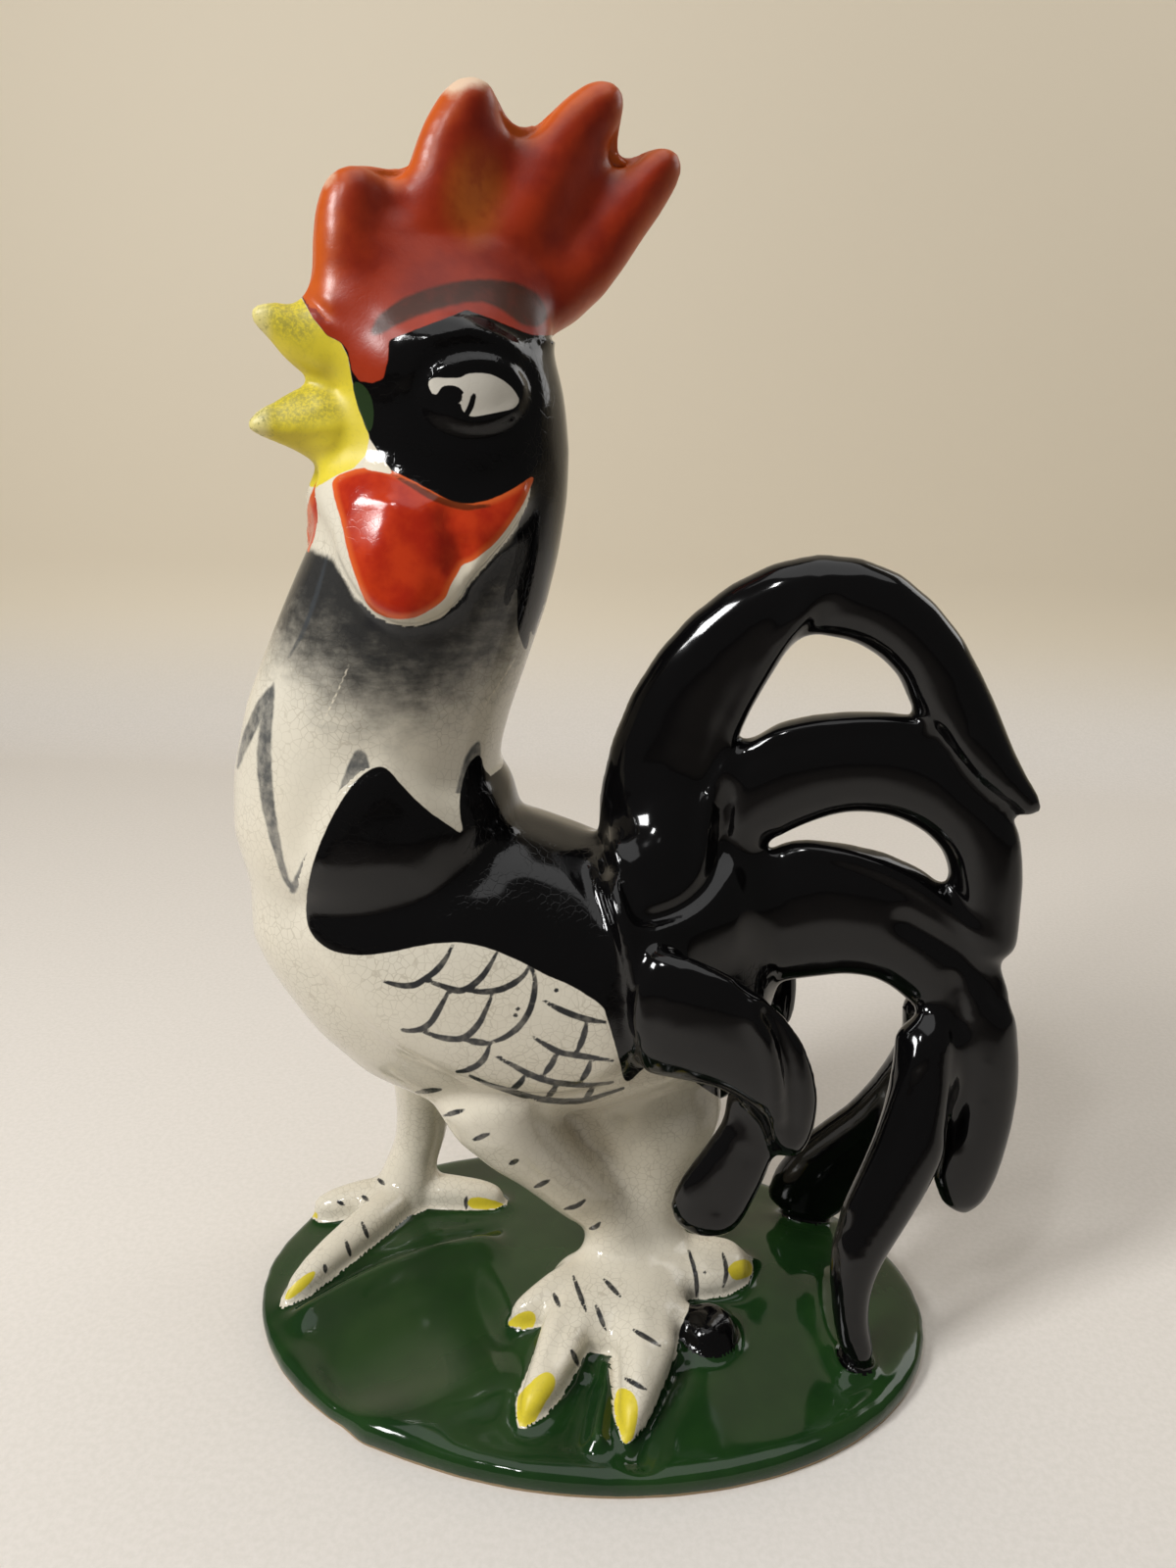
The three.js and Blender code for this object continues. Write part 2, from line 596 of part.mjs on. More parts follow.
function place(name, solid, material) {
  const { vertProperties, triVerts } = solid.getMesh();
  const geometry = new THREE.BufferGeometry();
  geometry.setAttribute('position', new THREE.BufferAttribute(new Float32Array(vertProperties), 3));
  geometry.setIndex(new THREE.BufferAttribute(new Uint32Array(triVerts), 1));
  geometry.computeVertexNormals();
  const mesh = new THREE.Mesh(geometry, material);
  mesh.name = name;
  rooster.add(mesh);
}

place('base', base, greenGlaze);
place('ground_stone', stone, blackGlaze);
place('foot_left', footLeft, creamGlaze);
place('foot_right', footRight, creamGlaze);
place('leg_left', legLeft, creamGlaze);
place('leg_right', legRight, creamGlaze);
place('rump_pillar', pillar, creamGlaze);
place('torso_shell', torso, creamGlaze);
place('neck_shell', neck, creamGlaze);
place('head_shell', head, blackGlaze);
place('comb', comb, redGlaze);
place('beak_upper', beakUpper, beakGlaze);
place('beak_lower', beakLower, beakGlaze);
place('wattle_left', wattleLeft, wattleGlaze);
place('wattle_right', wattleRight, wattleGlaze);
place('wing_left', wingLeft, blackGlaze);
place('wing_right', wingRight, blackGlaze);
place('back_cape', cape, blackGlaze);
place('tail_root', tailRoot, blackGlaze);
place('plume_top', plumeTop, blackGlaze);
place('plume_middle', plumeMiddle, blackGlaze);
place('plume_lower', plumeLower, blackGlaze);
place('plume_standing_left', standingLeft, blackGlaze);
place('plume_standing_right', standingRight, blackGlaze);
place('saddle_feather_left', feathersLeft.upper, blackGlaze);
place('hook_feather_left', feathersLeft.hook, blackGlaze);
place('saddle_feather_right', feathersRight.upper, blackGlaze);
place('hook_feather_right', feathersRight.hook, blackGlaze);

export default rooster;
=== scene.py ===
"""A crowing porcelain rooster on a grass-green base, glazed, painted and lit, around its solid pieces.

The glaze is one smooth skin drawn over all the solids, with the slip seams filled. It is shared out
again among the pieces, so that each piece is a closed shell of its own and no seam shows.
"""

import json
import math

import bmesh
import bpy
import numpy as np
from mathutils import Matrix, Vector
from mathutils.bvhtree import BVHTree


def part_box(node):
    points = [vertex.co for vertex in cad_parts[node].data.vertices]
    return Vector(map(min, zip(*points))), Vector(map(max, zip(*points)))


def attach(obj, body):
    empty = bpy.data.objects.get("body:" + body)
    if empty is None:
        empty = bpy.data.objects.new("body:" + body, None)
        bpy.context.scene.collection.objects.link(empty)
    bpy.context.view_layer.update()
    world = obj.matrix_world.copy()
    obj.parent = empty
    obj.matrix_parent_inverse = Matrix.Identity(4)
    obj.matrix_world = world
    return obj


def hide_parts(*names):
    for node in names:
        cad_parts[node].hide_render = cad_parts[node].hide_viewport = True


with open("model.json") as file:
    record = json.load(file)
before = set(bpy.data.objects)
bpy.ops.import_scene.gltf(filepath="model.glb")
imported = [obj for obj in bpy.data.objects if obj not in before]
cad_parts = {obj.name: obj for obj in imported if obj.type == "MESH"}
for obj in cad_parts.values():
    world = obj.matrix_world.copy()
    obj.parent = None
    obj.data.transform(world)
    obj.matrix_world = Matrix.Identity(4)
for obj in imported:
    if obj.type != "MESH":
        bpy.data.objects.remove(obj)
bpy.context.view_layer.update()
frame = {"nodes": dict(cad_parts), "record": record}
MM = 0.001

# The camera, worked out from the oval of the base
PHOTO_WIDTH, PHOTO_HEIGHT = 1200, 1600
FOCAL_PIXELS = 1202.0
CAMERA_PITCH = math.radians(17)      # below the horizon
CAMERA_SWING = math.radians(-5)
CAMERA_ROLL = math.radians(0.8)
CAMERA_PLACE = np.array([19.82, -249.99, 215.43]) * MM
SENSOR_WIDTH = 36.0
CLIP_START = 0.01

# The skin of glaze
SKIN_VOXEL = 0.72 * MM
SEAM_CLOSING = 0.6 * MM              # how far the skin swells and shrinks again to fill the seams
MERGE_DISTANCE = 0.002 * MM          # corners of the solids that are closer than this are one
UNDERSIDE_BAND = 0.1 * MM            # the base's vertices below this belong to its underside
SKIRT_DEPTH = 3.0 * MM               # the base is lengthened by this, and cut flat again at the table
CUT_DISTANCE = 0.001 * MM            # vertices this near to the table are left where they are
TABLE_BAND = 0.01 * MM               # the cut's edges are this near to the table
VENT_PLUG_RADIUS = 3.5 * MM          # a ball that closes the firing vent under the belly
VENT_PLUG_X, VENT_PLUG_Y, VENT_PLUG_RISE = -32 * MM, 8 * MM, 4.4 * MM
VENT_PLUG_STEPS = 3                  # how finely the ball is divided
SHELL_WALL = 2.2 * MM                # wall of a piece's shell
THIN_WALL = 0.9 * MM                 # wall of the shell of a slender piece
SHARP_TURN = 0.3                     # a face that turns further from the skin's normal keeps its own

# Smoothing, in rounds in which each vertex is drawn towards its neighbours' mean
FULL_PULL = 0.8                      # share of the way that a vertex goes in one round
USUAL_NEIGHBOURS = 4
SMOOTHING_ROUNDS = 62
STRENGTH_ROUNDS = 8
FOLD_ROUNDS = 14                     # how wide a fold may be and still count as one
FOLD_EVENING_ROUNDS = 3
WASH_ROUNDS = 3
PRESSING_ROUNDS = 2
BORDER_ROUNDS = 4                    # rounds that even out the borders between the pieces
MELT_ROUNDS = 110
MELT_FADE = 2.5                      # millimetres over which a melted area gives way to the rest
HEAD_FADE = 5.0                      # the same round the comb's foot
FILL_ROUNDS = 1500
FILL_REACH = 40                      # pixels round the outline of what is filled
COMB_EVENING_PULL, COMB_EVENING_ROUNDS = 0.9, 6

# Places on single pieces
FOOT_RING = 0.9                      # height of the unglazed ring at the table, in millimetres
BEAK_TIP = (250, 300)                # where the beak's tips pale, across the photo
COMB_GLOW = (484, 200)               # the light patch on the comb
COMB_GLOW_REACH = (42, 66)
COMB_GLOW_CORE = 0.2                 # share of the reach in which the patch is at its full strength
COMB_ROUND_REACH = 8.5               # how far in from their edges the comb's lobes are rounded off
COMB_EDGE_SHARE = 0.22               # share of the comb's thickness that is left at its very edge

# How strongly each piece's facets are smoothed away, 1 being the most
SMOOTHING = {
    "torso_shell": 1.0, "neck_shell": 1.0, "head_shell": 0.9, "base": 0.9, "tail_root": 0.8,
    "wing_left": 0.8, "wing_right": 0.8, "back_cape": 0.8, "leg_left": 0.5, "leg_right": 0.4,
    "rump_pillar": 0.7, "foot_left": 0.14, "foot_right": 0.12, "ground_stone": 0.1, "comb": 0.2,
    "beak_upper": 0.07, "beak_lower": 0.07, "wattle_left": 0.2, "wattle_right": 0.2,
}
PLUME_SMOOTHING = 0.36

WATTLE_NODES = ("wattle_left", "wattle_right")
RED_NODES = ("comb",) + WATTLE_NODES
BEAK_NODES = ("beak_upper", "beak_lower")
HEAD_NODES = ("head_shell",) + RED_NODES + BEAK_NODES
WING_NODES = ("wing_left", "wing_right")
FOOT_NODES = ("foot_left", "foot_right")
LEG_NODES = ("leg_left", "leg_right", "rump_pillar")
BODY_NODES = ("torso_shell", "neck_shell", "back_cape", "rump_pillar") + WING_NODES
TAIL_NODES = tuple(name for name in sorted(frame["nodes"]) if "plume" in name or "feather" in name)
TAIL_NODES += ("tail_root",)
BLACK_NODES = TAIL_NODES + ("head_shell", "back_cape", "ground_stone")
ONE_SIDED_NODES = TAIL_NODES + FOOT_NODES + ("leg_left", "leg_right", "base", "ground_stone")
GREEN_NODES = ("base", "ground_stone", "plume_standing_left", "plume_standing_right")
SLENDER_NODES = BLACK_NODES + RED_NODES + BEAK_NODES + FOOT_NODES + ("leg_left", "leg_right")

# The brushwork. Points are read off enlarged views of the photo, each placed by its corner and its scale.
VIEWS = {
    "photo": (0, 0, 1.0),
    "head": (220, 60, 0.3698),
    "neck": (220, 520, 0.3825),
    "wing": (300, 860, 0.26786),
    "feet": (260, 1080, 0.33163),
    "tail": (560, 540, 0.4593),
    "crown": (230, 60, 0.35714),
    "throat": (220, 480, 0.26786),
    "legs": (380, 1060, 0.43367),
}
BLANK = 6.0                          # a layer counts millimetres from its edge up to this
INK_WIDTH = 1.35                     # of a drawn line at its middle, in millimetres
FINE_INK_WIDTH = 0.85 * INK_WIDTH    # on the legs and feet
DOT_WIDTH, DOT_LENGTH = 0.9, 4       # in millimetres, and in the wing's view
NAPE_EDGE = 158.0                    # height of the black's lower edge down the nape, in millimetres
NAPE_TIP, NAPE_TIP_WIDTH = 5.0, 9.0  # length and width of its tips
NAPE_TURN = 0.05                     # the nape is turned further from the view than this
BRUSH_REACH = 25                     # pixels round a brushed outline or line
TOOL_REACH = 60                      # pixels round a groove or ridge
SMALLEST = 1e-9                      # so that a side without length doesn't divide by zero
CORNER_CUT = 0.25                    # share of a side that is cut off at each corner of a drawn path
LINE_SHARES = (0, 0.3, 0.7, 1)       # along a line: its start, where it is full, where it thins, its end

# How far a vertex may be turned from the view and still be worked, as the cosine of the angle
SEEN = -0.05
PAST_THE_EDGE = -0.3
WELL_PAST_THE_EDGE = -0.4
ALL_ROUND = -2.0

# The grey wash on the neck, across the throat's view: where it starts and ends, and its strength between
WASH_ACROSS = (240, 365, 445, 535, 650, 800, 905, 1010, 1130, 1215)
WASH_TOP = (320, 305, 345, 490, 575, 585, 515, 385, 270, 40)
WASH_BOTTOM = (850, 1040, 1110, 1145, 1130, 1100, 1065, 1010, 920, 760)
WASH_LEVELS = (0, 0.08, 0.3, 0.5, 0.7, 0.88, 1)
WASH_STRENGTHS = (1.5, 1.2, 1.0, 0.86, 0.5, 0.2, 0)

COMB_EDGE = (
    (310, 303), (317, 292), (319, 246), (321, 215), (328, 190), (344, 169), (365, 162), (382, 166),
    (400, 173), (414, 162), (424, 138), (438, 110), (460, 85), (477, 76), (496, 80), (509, 96),
    (517, 117), (530, 127), (544, 124), (568, 103), (596, 85), (617, 80), (631, 85), (638, 99),
    (635, 120), (628, 164), (645, 155), (670, 147), (688, 150), (696, 166), (691, 187), (670, 222),
    (638, 271), (614, 303), (579, 331), (558, 345),
)
COMB_FOOT = (
    (544, 342), (537, 340), (501, 325), (476, 316), (444, 329), (409, 342), (397, 347), (396, 367),
    (391, 387), (380, 391), (367, 389), (359, 378), (355, 358), (348, 349), (334, 342), (319, 324),
    (310, 306),
)
WATTLE = (
    (440, 30), (520, -4), (600, -16), (667, -2), (750, 38), (835, 84), (900, 120), (960, 130), (1045, 114),
    (1130, 74), (1222, 8), (1190, 90), (1155, 160), (1110, 225), (1060, 285), (1020, 315), (985, 345),
    (940, 358), (925, 388), (893, 440), (882, 480), (850, 512), (805, 540), (765, 562), (700, 570),
    (640, 558), (598, 535), (570, 500), (545, 440), (520, 370), (500, 300), (480, 200), (465, 150),
    (448, 90),
)
FACE_EDGE = (
    (412, 1085), (440, 1130), (480, 1186), (500, 1201), (560, 1233), (630, 1270), (690, 1282), (760, 1272),
    (820, 1246), (886, 1192),
)

# The far side mirrors the near one about a plane that turns with the height, in millimetres and degrees
MIRROR_HEIGHTS = (95, 126, 141, 156, 170, 185, 200)
MIRROR_TURNS = (6.1, 14, 17, 20, 24, 28, 30)
MIRROR_MIDDLES_X = (-20, -51.5, -52, -48, -42.5, -36.5, -32.7)
MIRROR_MIDDLES_Y = (6.9, 3, 2.5, 2, 1.5, 2.5, 4.5)

WING_STROKES = (
    ((340, 527), (400, 545), (460, 545), (490, 525), (540, 490), (575, 450), (605, 390)),
    ((490, 520), (550, 540), (620, 565), (650, 562), (700, 530), (740, 480), (775, 415)),
    ((650, 562), (720, 570), (790, 560), (850, 530), (885, 495), (895, 470)),
    ((905, 470), (920, 520), (915, 590), (890, 660), (850, 710), (790, 750), (730, 765)),
    ((410, 712), (440, 718), (480, 712), (520, 690), (550, 640), (590, 565)),
    ((480, 712), (530, 735), (600, 750), (650, 745), (700, 700), (730, 640), (755, 580)),
    ((650, 750), (700, 760), (750, 765)),
    ((745, 765), (735, 810), (700, 850), (650, 870), (620, 872)),
    ((670, 888), (740, 920), (820, 945), (900, 970), (1000, 985), (1100, 985), (1180, 960), (1255, 935)),
    ((950, 600), (1000, 630), (1060, 655), (1120, 675), (1195, 685)),
    ((1115, 680), (1105, 740), (1075, 800)),
    ((910, 740), (950, 765), (1010, 800), (1080, 810), (1150, 820), (1215, 830)),
    ((1000, 800), (985, 840), (950, 885)),
    ((1130, 830), (1120, 870), (1090, 910)),
    ((770, 815), (830, 845), (900, 885), (970, 910), (1050, 920), (1130, 925), (1215, 912)),
    ((880, 885), (860, 920), (820, 945)),
    ((1000, 925), (985, 950), (960, 972)),
    ((1140, 930), (1125, 955), (1110, 968)),
)
WING_DOTS = ((785, 820), (997, 562), (850, 632), (842, 657))
LEG_STROKES = (
    ((560, 940), (465, 950)), ((648, 1018), (570, 1040)), ((745, 1108), (680, 1133)),
    ((855, 1207), (820, 1225)), ((972, 1287), (915, 1313)), ((1110, 1360), (1080, 1385), (1030, 1395)),
    ((1165, 1447), (1150, 1465), (1125, 1470)),
)
FOOT_STROKES = (
    ((980, 670), (1020, 780)), ((1075, 680), (1125, 733)), ((920, 725), (938, 765)),
    ((1050, 760), (1080, 838)), ((1165, 835), (1248, 885)), ((975, 897), (997, 948)),
    ((1335, 590), (1360, 670), (1360, 750)),
    ((1383, 660), (1387, 660)), ((1440, 600), (1455, 660), (1440, 705)), ((1140, 985), (1205, 1020)),
    ((1070, 585), (1110, 600)), ((895, 1000), (905, 1025)), ((460, 140), (460, 160)),
    ((455, 205), (455, 225)),
    ((432, 295), (432, 315)), ((380, 372), (400, 388)), ((330, 422), (350, 438)), ((330, 505), (350, 555)),
    ((280, 560), (295, 610)), ((215, 635), (218, 660)), ((255, 440), (275, 450)), ((650, 425), (650, 465)),
)
CLAW_REACH = 5.0                     # of the claws that the photo doesn't show, in millimetres
FAR_TOE_TIPS = ((-74.6, -18), (-77.6, 17), (-60.4, 34.6), (-25, 25.2))
CLAWS = (
    ((850, 775), (870, 800), (850, 840), (800, 870), (740, 850), (790, 800), (820, 780)),
    ((915, 965), (930, 1005), (890, 1065), (840, 1160), (760, 1140), (800, 1050), (845, 1000), (885, 965)),
    ((1120, 1005), (1170, 1030), (1185, 1090), (1150, 1220), (1100, 1220), (1100, 1130), (1102, 1060)),
    ((1450, 635), (1520, 610), (1540, 665), (1470, 690)),
    ((100, 520), (150, 475), (195, 470), (190, 505), (130, 530)),
    ((85, 740), (125, 685), (190, 645), (180, 685), (110, 745)),
    ((655, 430), (700, 425), (800, 460), (790, 485), (700, 475), (655, 455)),
)

# Colours, as a paint chip reads, in linear light
IVORY_WARM = (0.74, 0.67, 0.53, 1)
IVORY_COOL = (0.68, 0.64, 0.54, 1)
IVORY_SHADE = (0.46, 0.42, 0.33, 1)
CRACK_STAIN = (0.32, 0.27, 0.19, 1)
EYE_IVORY = (0.62, 0.58, 0.50, 1)
WASH_BLACK = (0.012, 0.013, 0.015, 1)
STROKE_GREY = (0.050, 0.055, 0.060, 1)
INK_BLACK = (0.012, 0.014, 0.018, 1)
JET = (0.0025, 0.0023, 0.0025, 1)
JET_THIN = (0.007, 0.006, 0.0045, 1)
OLIVE = (0.018, 0.035, 0.012, 1)
LEMON = (0.78, 0.64, 0.045, 1)
LEMON_DEEP = (0.62, 0.50, 0.025, 1)
BEAK_WHITE = (0.75, 0.68, 0.40, 1)
BEAK_OLIVE = (0.24, 0.22, 0.055, 1)
GRASS = (0.014, 0.044, 0.010, 1)
GRASS_DEEP = (0.009, 0.031, 0.008, 1)
GRASS_POOLED = (0.004, 0.017, 0.005, 1)
GRASS_THIN = (0.035, 0.085, 0.022, 1)
BARE_CLAY = (0.36, 0.26, 0.15, 1)
COMB_RED = (0.32, 0.027, 0.005, 1)
COMB_DEEP = (0.22, 0.014, 0.003, 1)
# painted shade in the comb's valleys
COMB_VALLEY_SHADE = (0.12, 0.007, 0.002, 1)
COMB_ORANGE = (0.58, 0.105, 0.009, 1)
COMB_AMBER = (0.60, 0.150, 0.020, 1)
WORN_PALE = (0.78, 0.62, 0.44, 1)
BROW_BROWN = (0.050, 0.012, 0.003, 1)
WATTLE_RED = (0.52, 0.040, 0.008, 1)
# also the painted shade in the wattles' folds
WATTLE_DEEP = (0.38, 0.018, 0.005, 1)
WATTLE_ORANGE = (0.72, 0.14, 0.03, 1)

# Finishes: roughness from and to, and sizes and heights in millimetres
GLAZE_IOR = 1.43
GLAZE_ROUGHNESS = (0.06, 0.11)
YELLOW_ROUGHNESS = (0.35, 0.5)
COMB_ROUGHNESS = (0.26, 0.38)
WATTLE_ROUGHNESS = (0.1, 0.2)
CLAY_ROUGHNESS = 0.75
SHEEN_CLOUD = 5.0                    # size of the duller and glossier clouds in a finish
UNEVEN_SIZE, UNEVEN_HEIGHT = 9.0, 0.10
PIT_SIZE, GLAZE_PITS, COMB_PITS = 0.8, 0.002, 0.02
CRAZING_CELL = 1.75
CRACK_DEPTH = 0.010
CRACK_STRENGTH = 0.34                # how much of its stain a crack shows
CRACK_WIDTH = (0.015, 0.07)          # shares of a cell over which a crack fades out
CRACK_BEND, CRACK_BEND_SIZE = 1.1, 3.0
CRAZING = {
    "cream_glaze": 1.0, "black_glaze": 1.0, "comb_red": 0.4, "wattle_red": 0.6, "beak_yellow": 0.4,
    "green_glaze": 0.3,
}
WASH_COVER = 0.97
WASH_STRETCH = (0.4, 0.4, 1.0)       # the wash's streaks are longer round the neck than up it
# how much of its colour the beak's olive grains show: dirt on the upper beak, painted shade in the mouth
DIRT_AND_SHADE_COVER = 0.6
WORN_COVER = 0.8
BROWN_LINE_COVER = 0.8

# Room and lamps, in metres and watts
FLOOR_PALE = (0.745, 0.70, 0.65, 1)
FLOOR_SHADE = (0.695, 0.655, 0.60, 1)
FLOOR_NEAR = (0.16, 0.14, 0.12, 1)   # in front, out of view: painted shade, dark as the dim room that the glaze mirrors
FLOOR_NEAR_START, FLOOR_NEAR_FULL = -0.17, -0.36
FLOOR_HALF = 2.0                     # half its width
FLOOR_ROUGHNESS = 0.6
FLOOR_SPECKLE = 1.5                  # in millimetres
WALL_BEIGE = (0.745, 0.655, 0.505, 1)
WALL_FOOT = 0.45                     # how far behind the figurine the floor turns up
COVE_RADIUS = 0.12
COVE_STEPS = 24
COVE_COLOURS = (0.02, 0.8)           # shares of the cove's height over which floor turns to wall
ROOM_COLOUR = (1.0, 0.97, 0.92, 1)
ROOM_LIGHT = 0.09
LAMP_AIM = Vector((0.0, 0.0, 0.12))
LAMPS = (
    ("window", (-0.62, -0.50, 0.72), (0.24, 0.28), 7.8),
    ("bulb", (-0.25, -0.55, 0.85), (0.07, 0.10), 1.2),
    ("ceiling", (0.10, -0.10, 1.25), (1.1, 1.0), 4.4),
    ("far_fill", (0.6, 0.5, 0.6), (0.5, 0.5), 2.0),
)


# The camera

def camera_axes():
    """The camera's right, up and forward directions, in the object's frame."""
    pitch, swing, roll = CAMERA_PITCH, CAMERA_SWING, CAMERA_ROLL
    level_forward = np.array([math.sin(swing), math.cos(swing), 0.0])
    forward = level_forward * math.cos(pitch) - np.array([0.0, 0.0, math.sin(pitch)])
    level = np.array([math.cos(swing), -math.sin(swing), 0.0])
    above = np.cross(level, forward)
    right = level * math.cos(roll) + above * math.sin(roll)
    up = above * math.cos(roll) - level * math.sin(roll)
    return right, up, forward


RIGHT, ABOVE, FORWARD = camera_axes()


def add_camera():
    """A camera where the photo was taken from, with the photo's field of view."""
    data = bpy.data.cameras.new("camera")
    data.sensor_width = SENSOR_WIDTH
    data.lens = FOCAL_PIXELS * SENSOR_WIDTH / PHOTO_HEIGHT
    data.clip_start = CLIP_START
    camera = new_object("camera", data)
    matrix = np.eye(4)
    matrix[:3, 0], matrix[:3, 1], matrix[:3, 2], matrix[:3, 3] = RIGHT, ABOVE, -FORWARD, CAMERA_PLACE
    camera.matrix_world = Matrix(matrix.tolist())
    bpy.context.scene.camera = camera


def to_photo(points):
    """Where points of the object come in the photo's frame of pixels, and their depth in metres."""
    away = points - CAMERA_PLACE
    depth = away @ FORWARD
    x = PHOTO_WIDTH / 2 + FOCAL_PIXELS * (away @ RIGHT) / depth
    y = PHOTO_HEIGHT / 2 - FOCAL_PIXELS * (away @ ABOVE) / depth
    return np.stack([x, y], axis=1), depth


# Small helpers

def new_object(name, data):
    """Puts a mesh, a lamp or a camera into the scene."""
    obj = bpy.data.objects.new(name, data)
    bpy.context.scene.collection.objects.link(obj)
    return obj


def evaluated(obj):
    """A new mesh: the object's own with its modifiers applied."""
    graph = bpy.context.evaluated_depsgraph_get()
    return bpy.data.meshes.new_from_object(obj.evaluated_get(graph))


def geometry_recipe(name, numbers):
    """An empty geometry recipe with whole-number inputs: its tree, its start node and its end node."""
    tree = bpy.data.node_groups.new(name, "GeometryNodeTree")
    tree.interface.new_socket("Geometry", in_out="INPUT", socket_type="NodeSocketGeometry")
    for number in numbers:
        tree.interface.new_socket(number, in_out="INPUT", socket_type="NodeSocketInt")
    tree.interface.new_socket("Geometry", in_out="OUTPUT", socket_type="NodeSocketGeometry")
    return tree, tree.nodes.new("NodeGroupInput"), tree.nodes.new("NodeGroupOutput")


def named_attribute(tree, name, kind):
    node = tree.nodes.new("GeometryNodeInputNamedAttribute")
    node.data_type = kind
    node.inputs["Name"].default_value = name
    return node.outputs["Attribute"]


def blur_recipe():
    """Blurs the attribute value over the surface, by the attribute weight."""
    tree, start, end = geometry_recipe("blur", ["Rounds"])
    blur = tree.nodes.new("GeometryNodeBlurAttribute")
    blur.data_type = "FLOAT_VECTOR"
    store = tree.nodes.new("GeometryNodeStoreNamedAttribute")
    store.data_type = "FLOAT_VECTOR"
    store.inputs["Name"].default_value = "value"
    link = tree.links.new
    link(named_attribute(tree, "value", "FLOAT_VECTOR"), socket(blur.inputs, "Value"))
    link(named_attribute(tree, "weight", "FLOAT"), socket(blur.inputs, "Weight"))
    link(start.outputs["Rounds"], socket(blur.inputs, "Iterations"))
    link(start.outputs["Geometry"], store.inputs["Geometry"])
    link(socket(blur.outputs, "Value"), socket(store.inputs, "Value"))
    link(store.outputs["Geometry"], end.inputs["Geometry"])
    return tree


def pick_recipe():
    """Keeps the faces of one number of the attribute owner."""
    tree, start, end = geometry_recipe("pick", ["Number"])
    same = tree.nodes.new("FunctionNodeCompare")
    same.data_type = "INT"
    same.operation = "EQUAL"
    separate = tree.nodes.new("GeometryNodeSeparateGeometry")
    separate.domain = "FACE"
    link = tree.links.new
    link(named_attribute(tree, "owner", "INT"), socket(same.inputs, "A"))
    link(start.outputs["Number"], socket(same.inputs, "B"))
    link(start.outputs["Geometry"], separate.inputs["Geometry"])
    link(same.outputs["Result"], separate.inputs["Selection"])
    link(separate.outputs["Selection"], end.inputs["Geometry"])
    return tree


def socket(sockets, name):
    """The socket of that name which is in use, of the several that a node holds for its data types."""
    return next(one for one in sockets if one.name == name and one.enabled)


def add_recipe(obj, tree, number):
    """Puts the recipe on the object as a modifier with that number."""
    modifier = obj.modifiers.new(tree.name, "NODES")
    modifier.node_group = tree
    entry = next(item for item in tree.interface.items_tree if item.socket_type == "NodeSocketInt")
    modifier[entry.identifier] = number


def vertex_places(mesh):
    places = np.zeros(len(mesh.vertices) * 3)
    mesh.vertices.foreach_get("co", places)
    return places.reshape(-1, 3)


def vertex_normals(mesh):
    normals = np.zeros(len(mesh.vertices) * 3)
    mesh.vertex_normals.foreach_get("vector", normals)
    return normals.reshape(-1, 3)


def move_vertices(mesh, places):
    mesh.vertices.foreach_set("co", places.ravel())
    mesh.update()


def keep_attribute(mesh, name, values):
    """Stores one number for each vertex."""
    attribute = mesh.attributes.new(name, "FLOAT", "POINT")
    attribute.data.foreach_set("value", values.astype(np.float32))


def smooth_step(values, low, high):
    """0 up to low and 1 from high on, with a soft rise between."""
    share = np.clip((values - low) / (high - low), 0, 1)
    return share * share * (3 - 2 * share)


# The skin of glaze over all the solids

def solids_mesh(names, lengthen_base=False):
    """The named CAD solids' faces in one mesh, each solid with its shared corners merged."""
    work = bmesh.new()
    for name in names:
        first = len(work.verts)
        work.from_mesh(frame["nodes"][name].data)
        work.verts.ensure_lookup_table()
        if lengthen_base and name == "base":
            for vert in work.verts[first:]:
                if vert.co.z < UNDERSIDE_BAND:
                    vert.co.z -= SKIRT_DEPTH
    bmesh.ops.remove_doubles(work, verts=work.verts[:], dist=MERGE_DISTANCE)
    mesh = bpy.data.meshes.new("solids")
    work.to_mesh(mesh)
    work.free()
    return mesh


def plug_vent(mesh):
    """Closes the firing vent from inside, so that the skin doesn't run into the hollow."""
    low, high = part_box("torso_shell")
    work = bmesh.new()
    work.from_mesh(mesh)
    bmesh.ops.create_icosphere(work, subdivisions=VENT_PLUG_STEPS, radius=VENT_PLUG_RADIUS)
    middle = Vector((VENT_PLUG_X, VENT_PLUG_Y, low.z + VENT_PLUG_RISE))
    for vert in work.verts[len(mesh.vertices):]:
        vert.co += middle
    work.to_mesh(mesh)
    work.free()


def outermost(mesh):
    """Only the body that reaches highest: what lies inside it goes."""
    work = bmesh.new()
    work.from_mesh(mesh)
    work.verts.ensure_lookup_table()
    top = max(work.verts, key=lambda vert: vert.co.z)
    reached = {top}
    edge_of_search = [top]
    while edge_of_search:
        vert = edge_of_search.pop()
        for edge in vert.link_edges:
            other = edge.other_vert(vert)
            if other not in reached:
                reached.add(other)
                edge_of_search.append(other)
    inner = [vert for vert in work.verts if vert not in reached]
    if inner:
        bmesh.ops.delete(work, geom=inner, context="VERTS")
    work.to_mesh(mesh)
    work.free()


def close_skin():
    """One closed skin round all the solids, with the slip seams filled."""
    mesh = solids_mesh(sorted(frame["nodes"]), lengthen_base=True)
    plug_vent(mesh)
    obj = new_object("skin", mesh)
    for step, swell in enumerate((SEAM_CLOSING, -SEAM_CLOSING)):
        remesh = obj.modifiers.new(f"remesh_{step}", "REMESH")
        remesh.mode = "VOXEL"
        remesh.voxel_size = SKIN_VOXEL
        displace = obj.modifiers.new(f"swell_{step}", "DISPLACE")
        displace.strength = swell
        displace.mid_level = 0
    last = obj.modifiers.new("remesh_last", "REMESH")
    last.mode = "VOXEL"
    last.voxel_size = SKIN_VOXEL
    skin = evaluated(obj)
    bpy.data.objects.remove(obj)
    outermost(skin)
    return skin


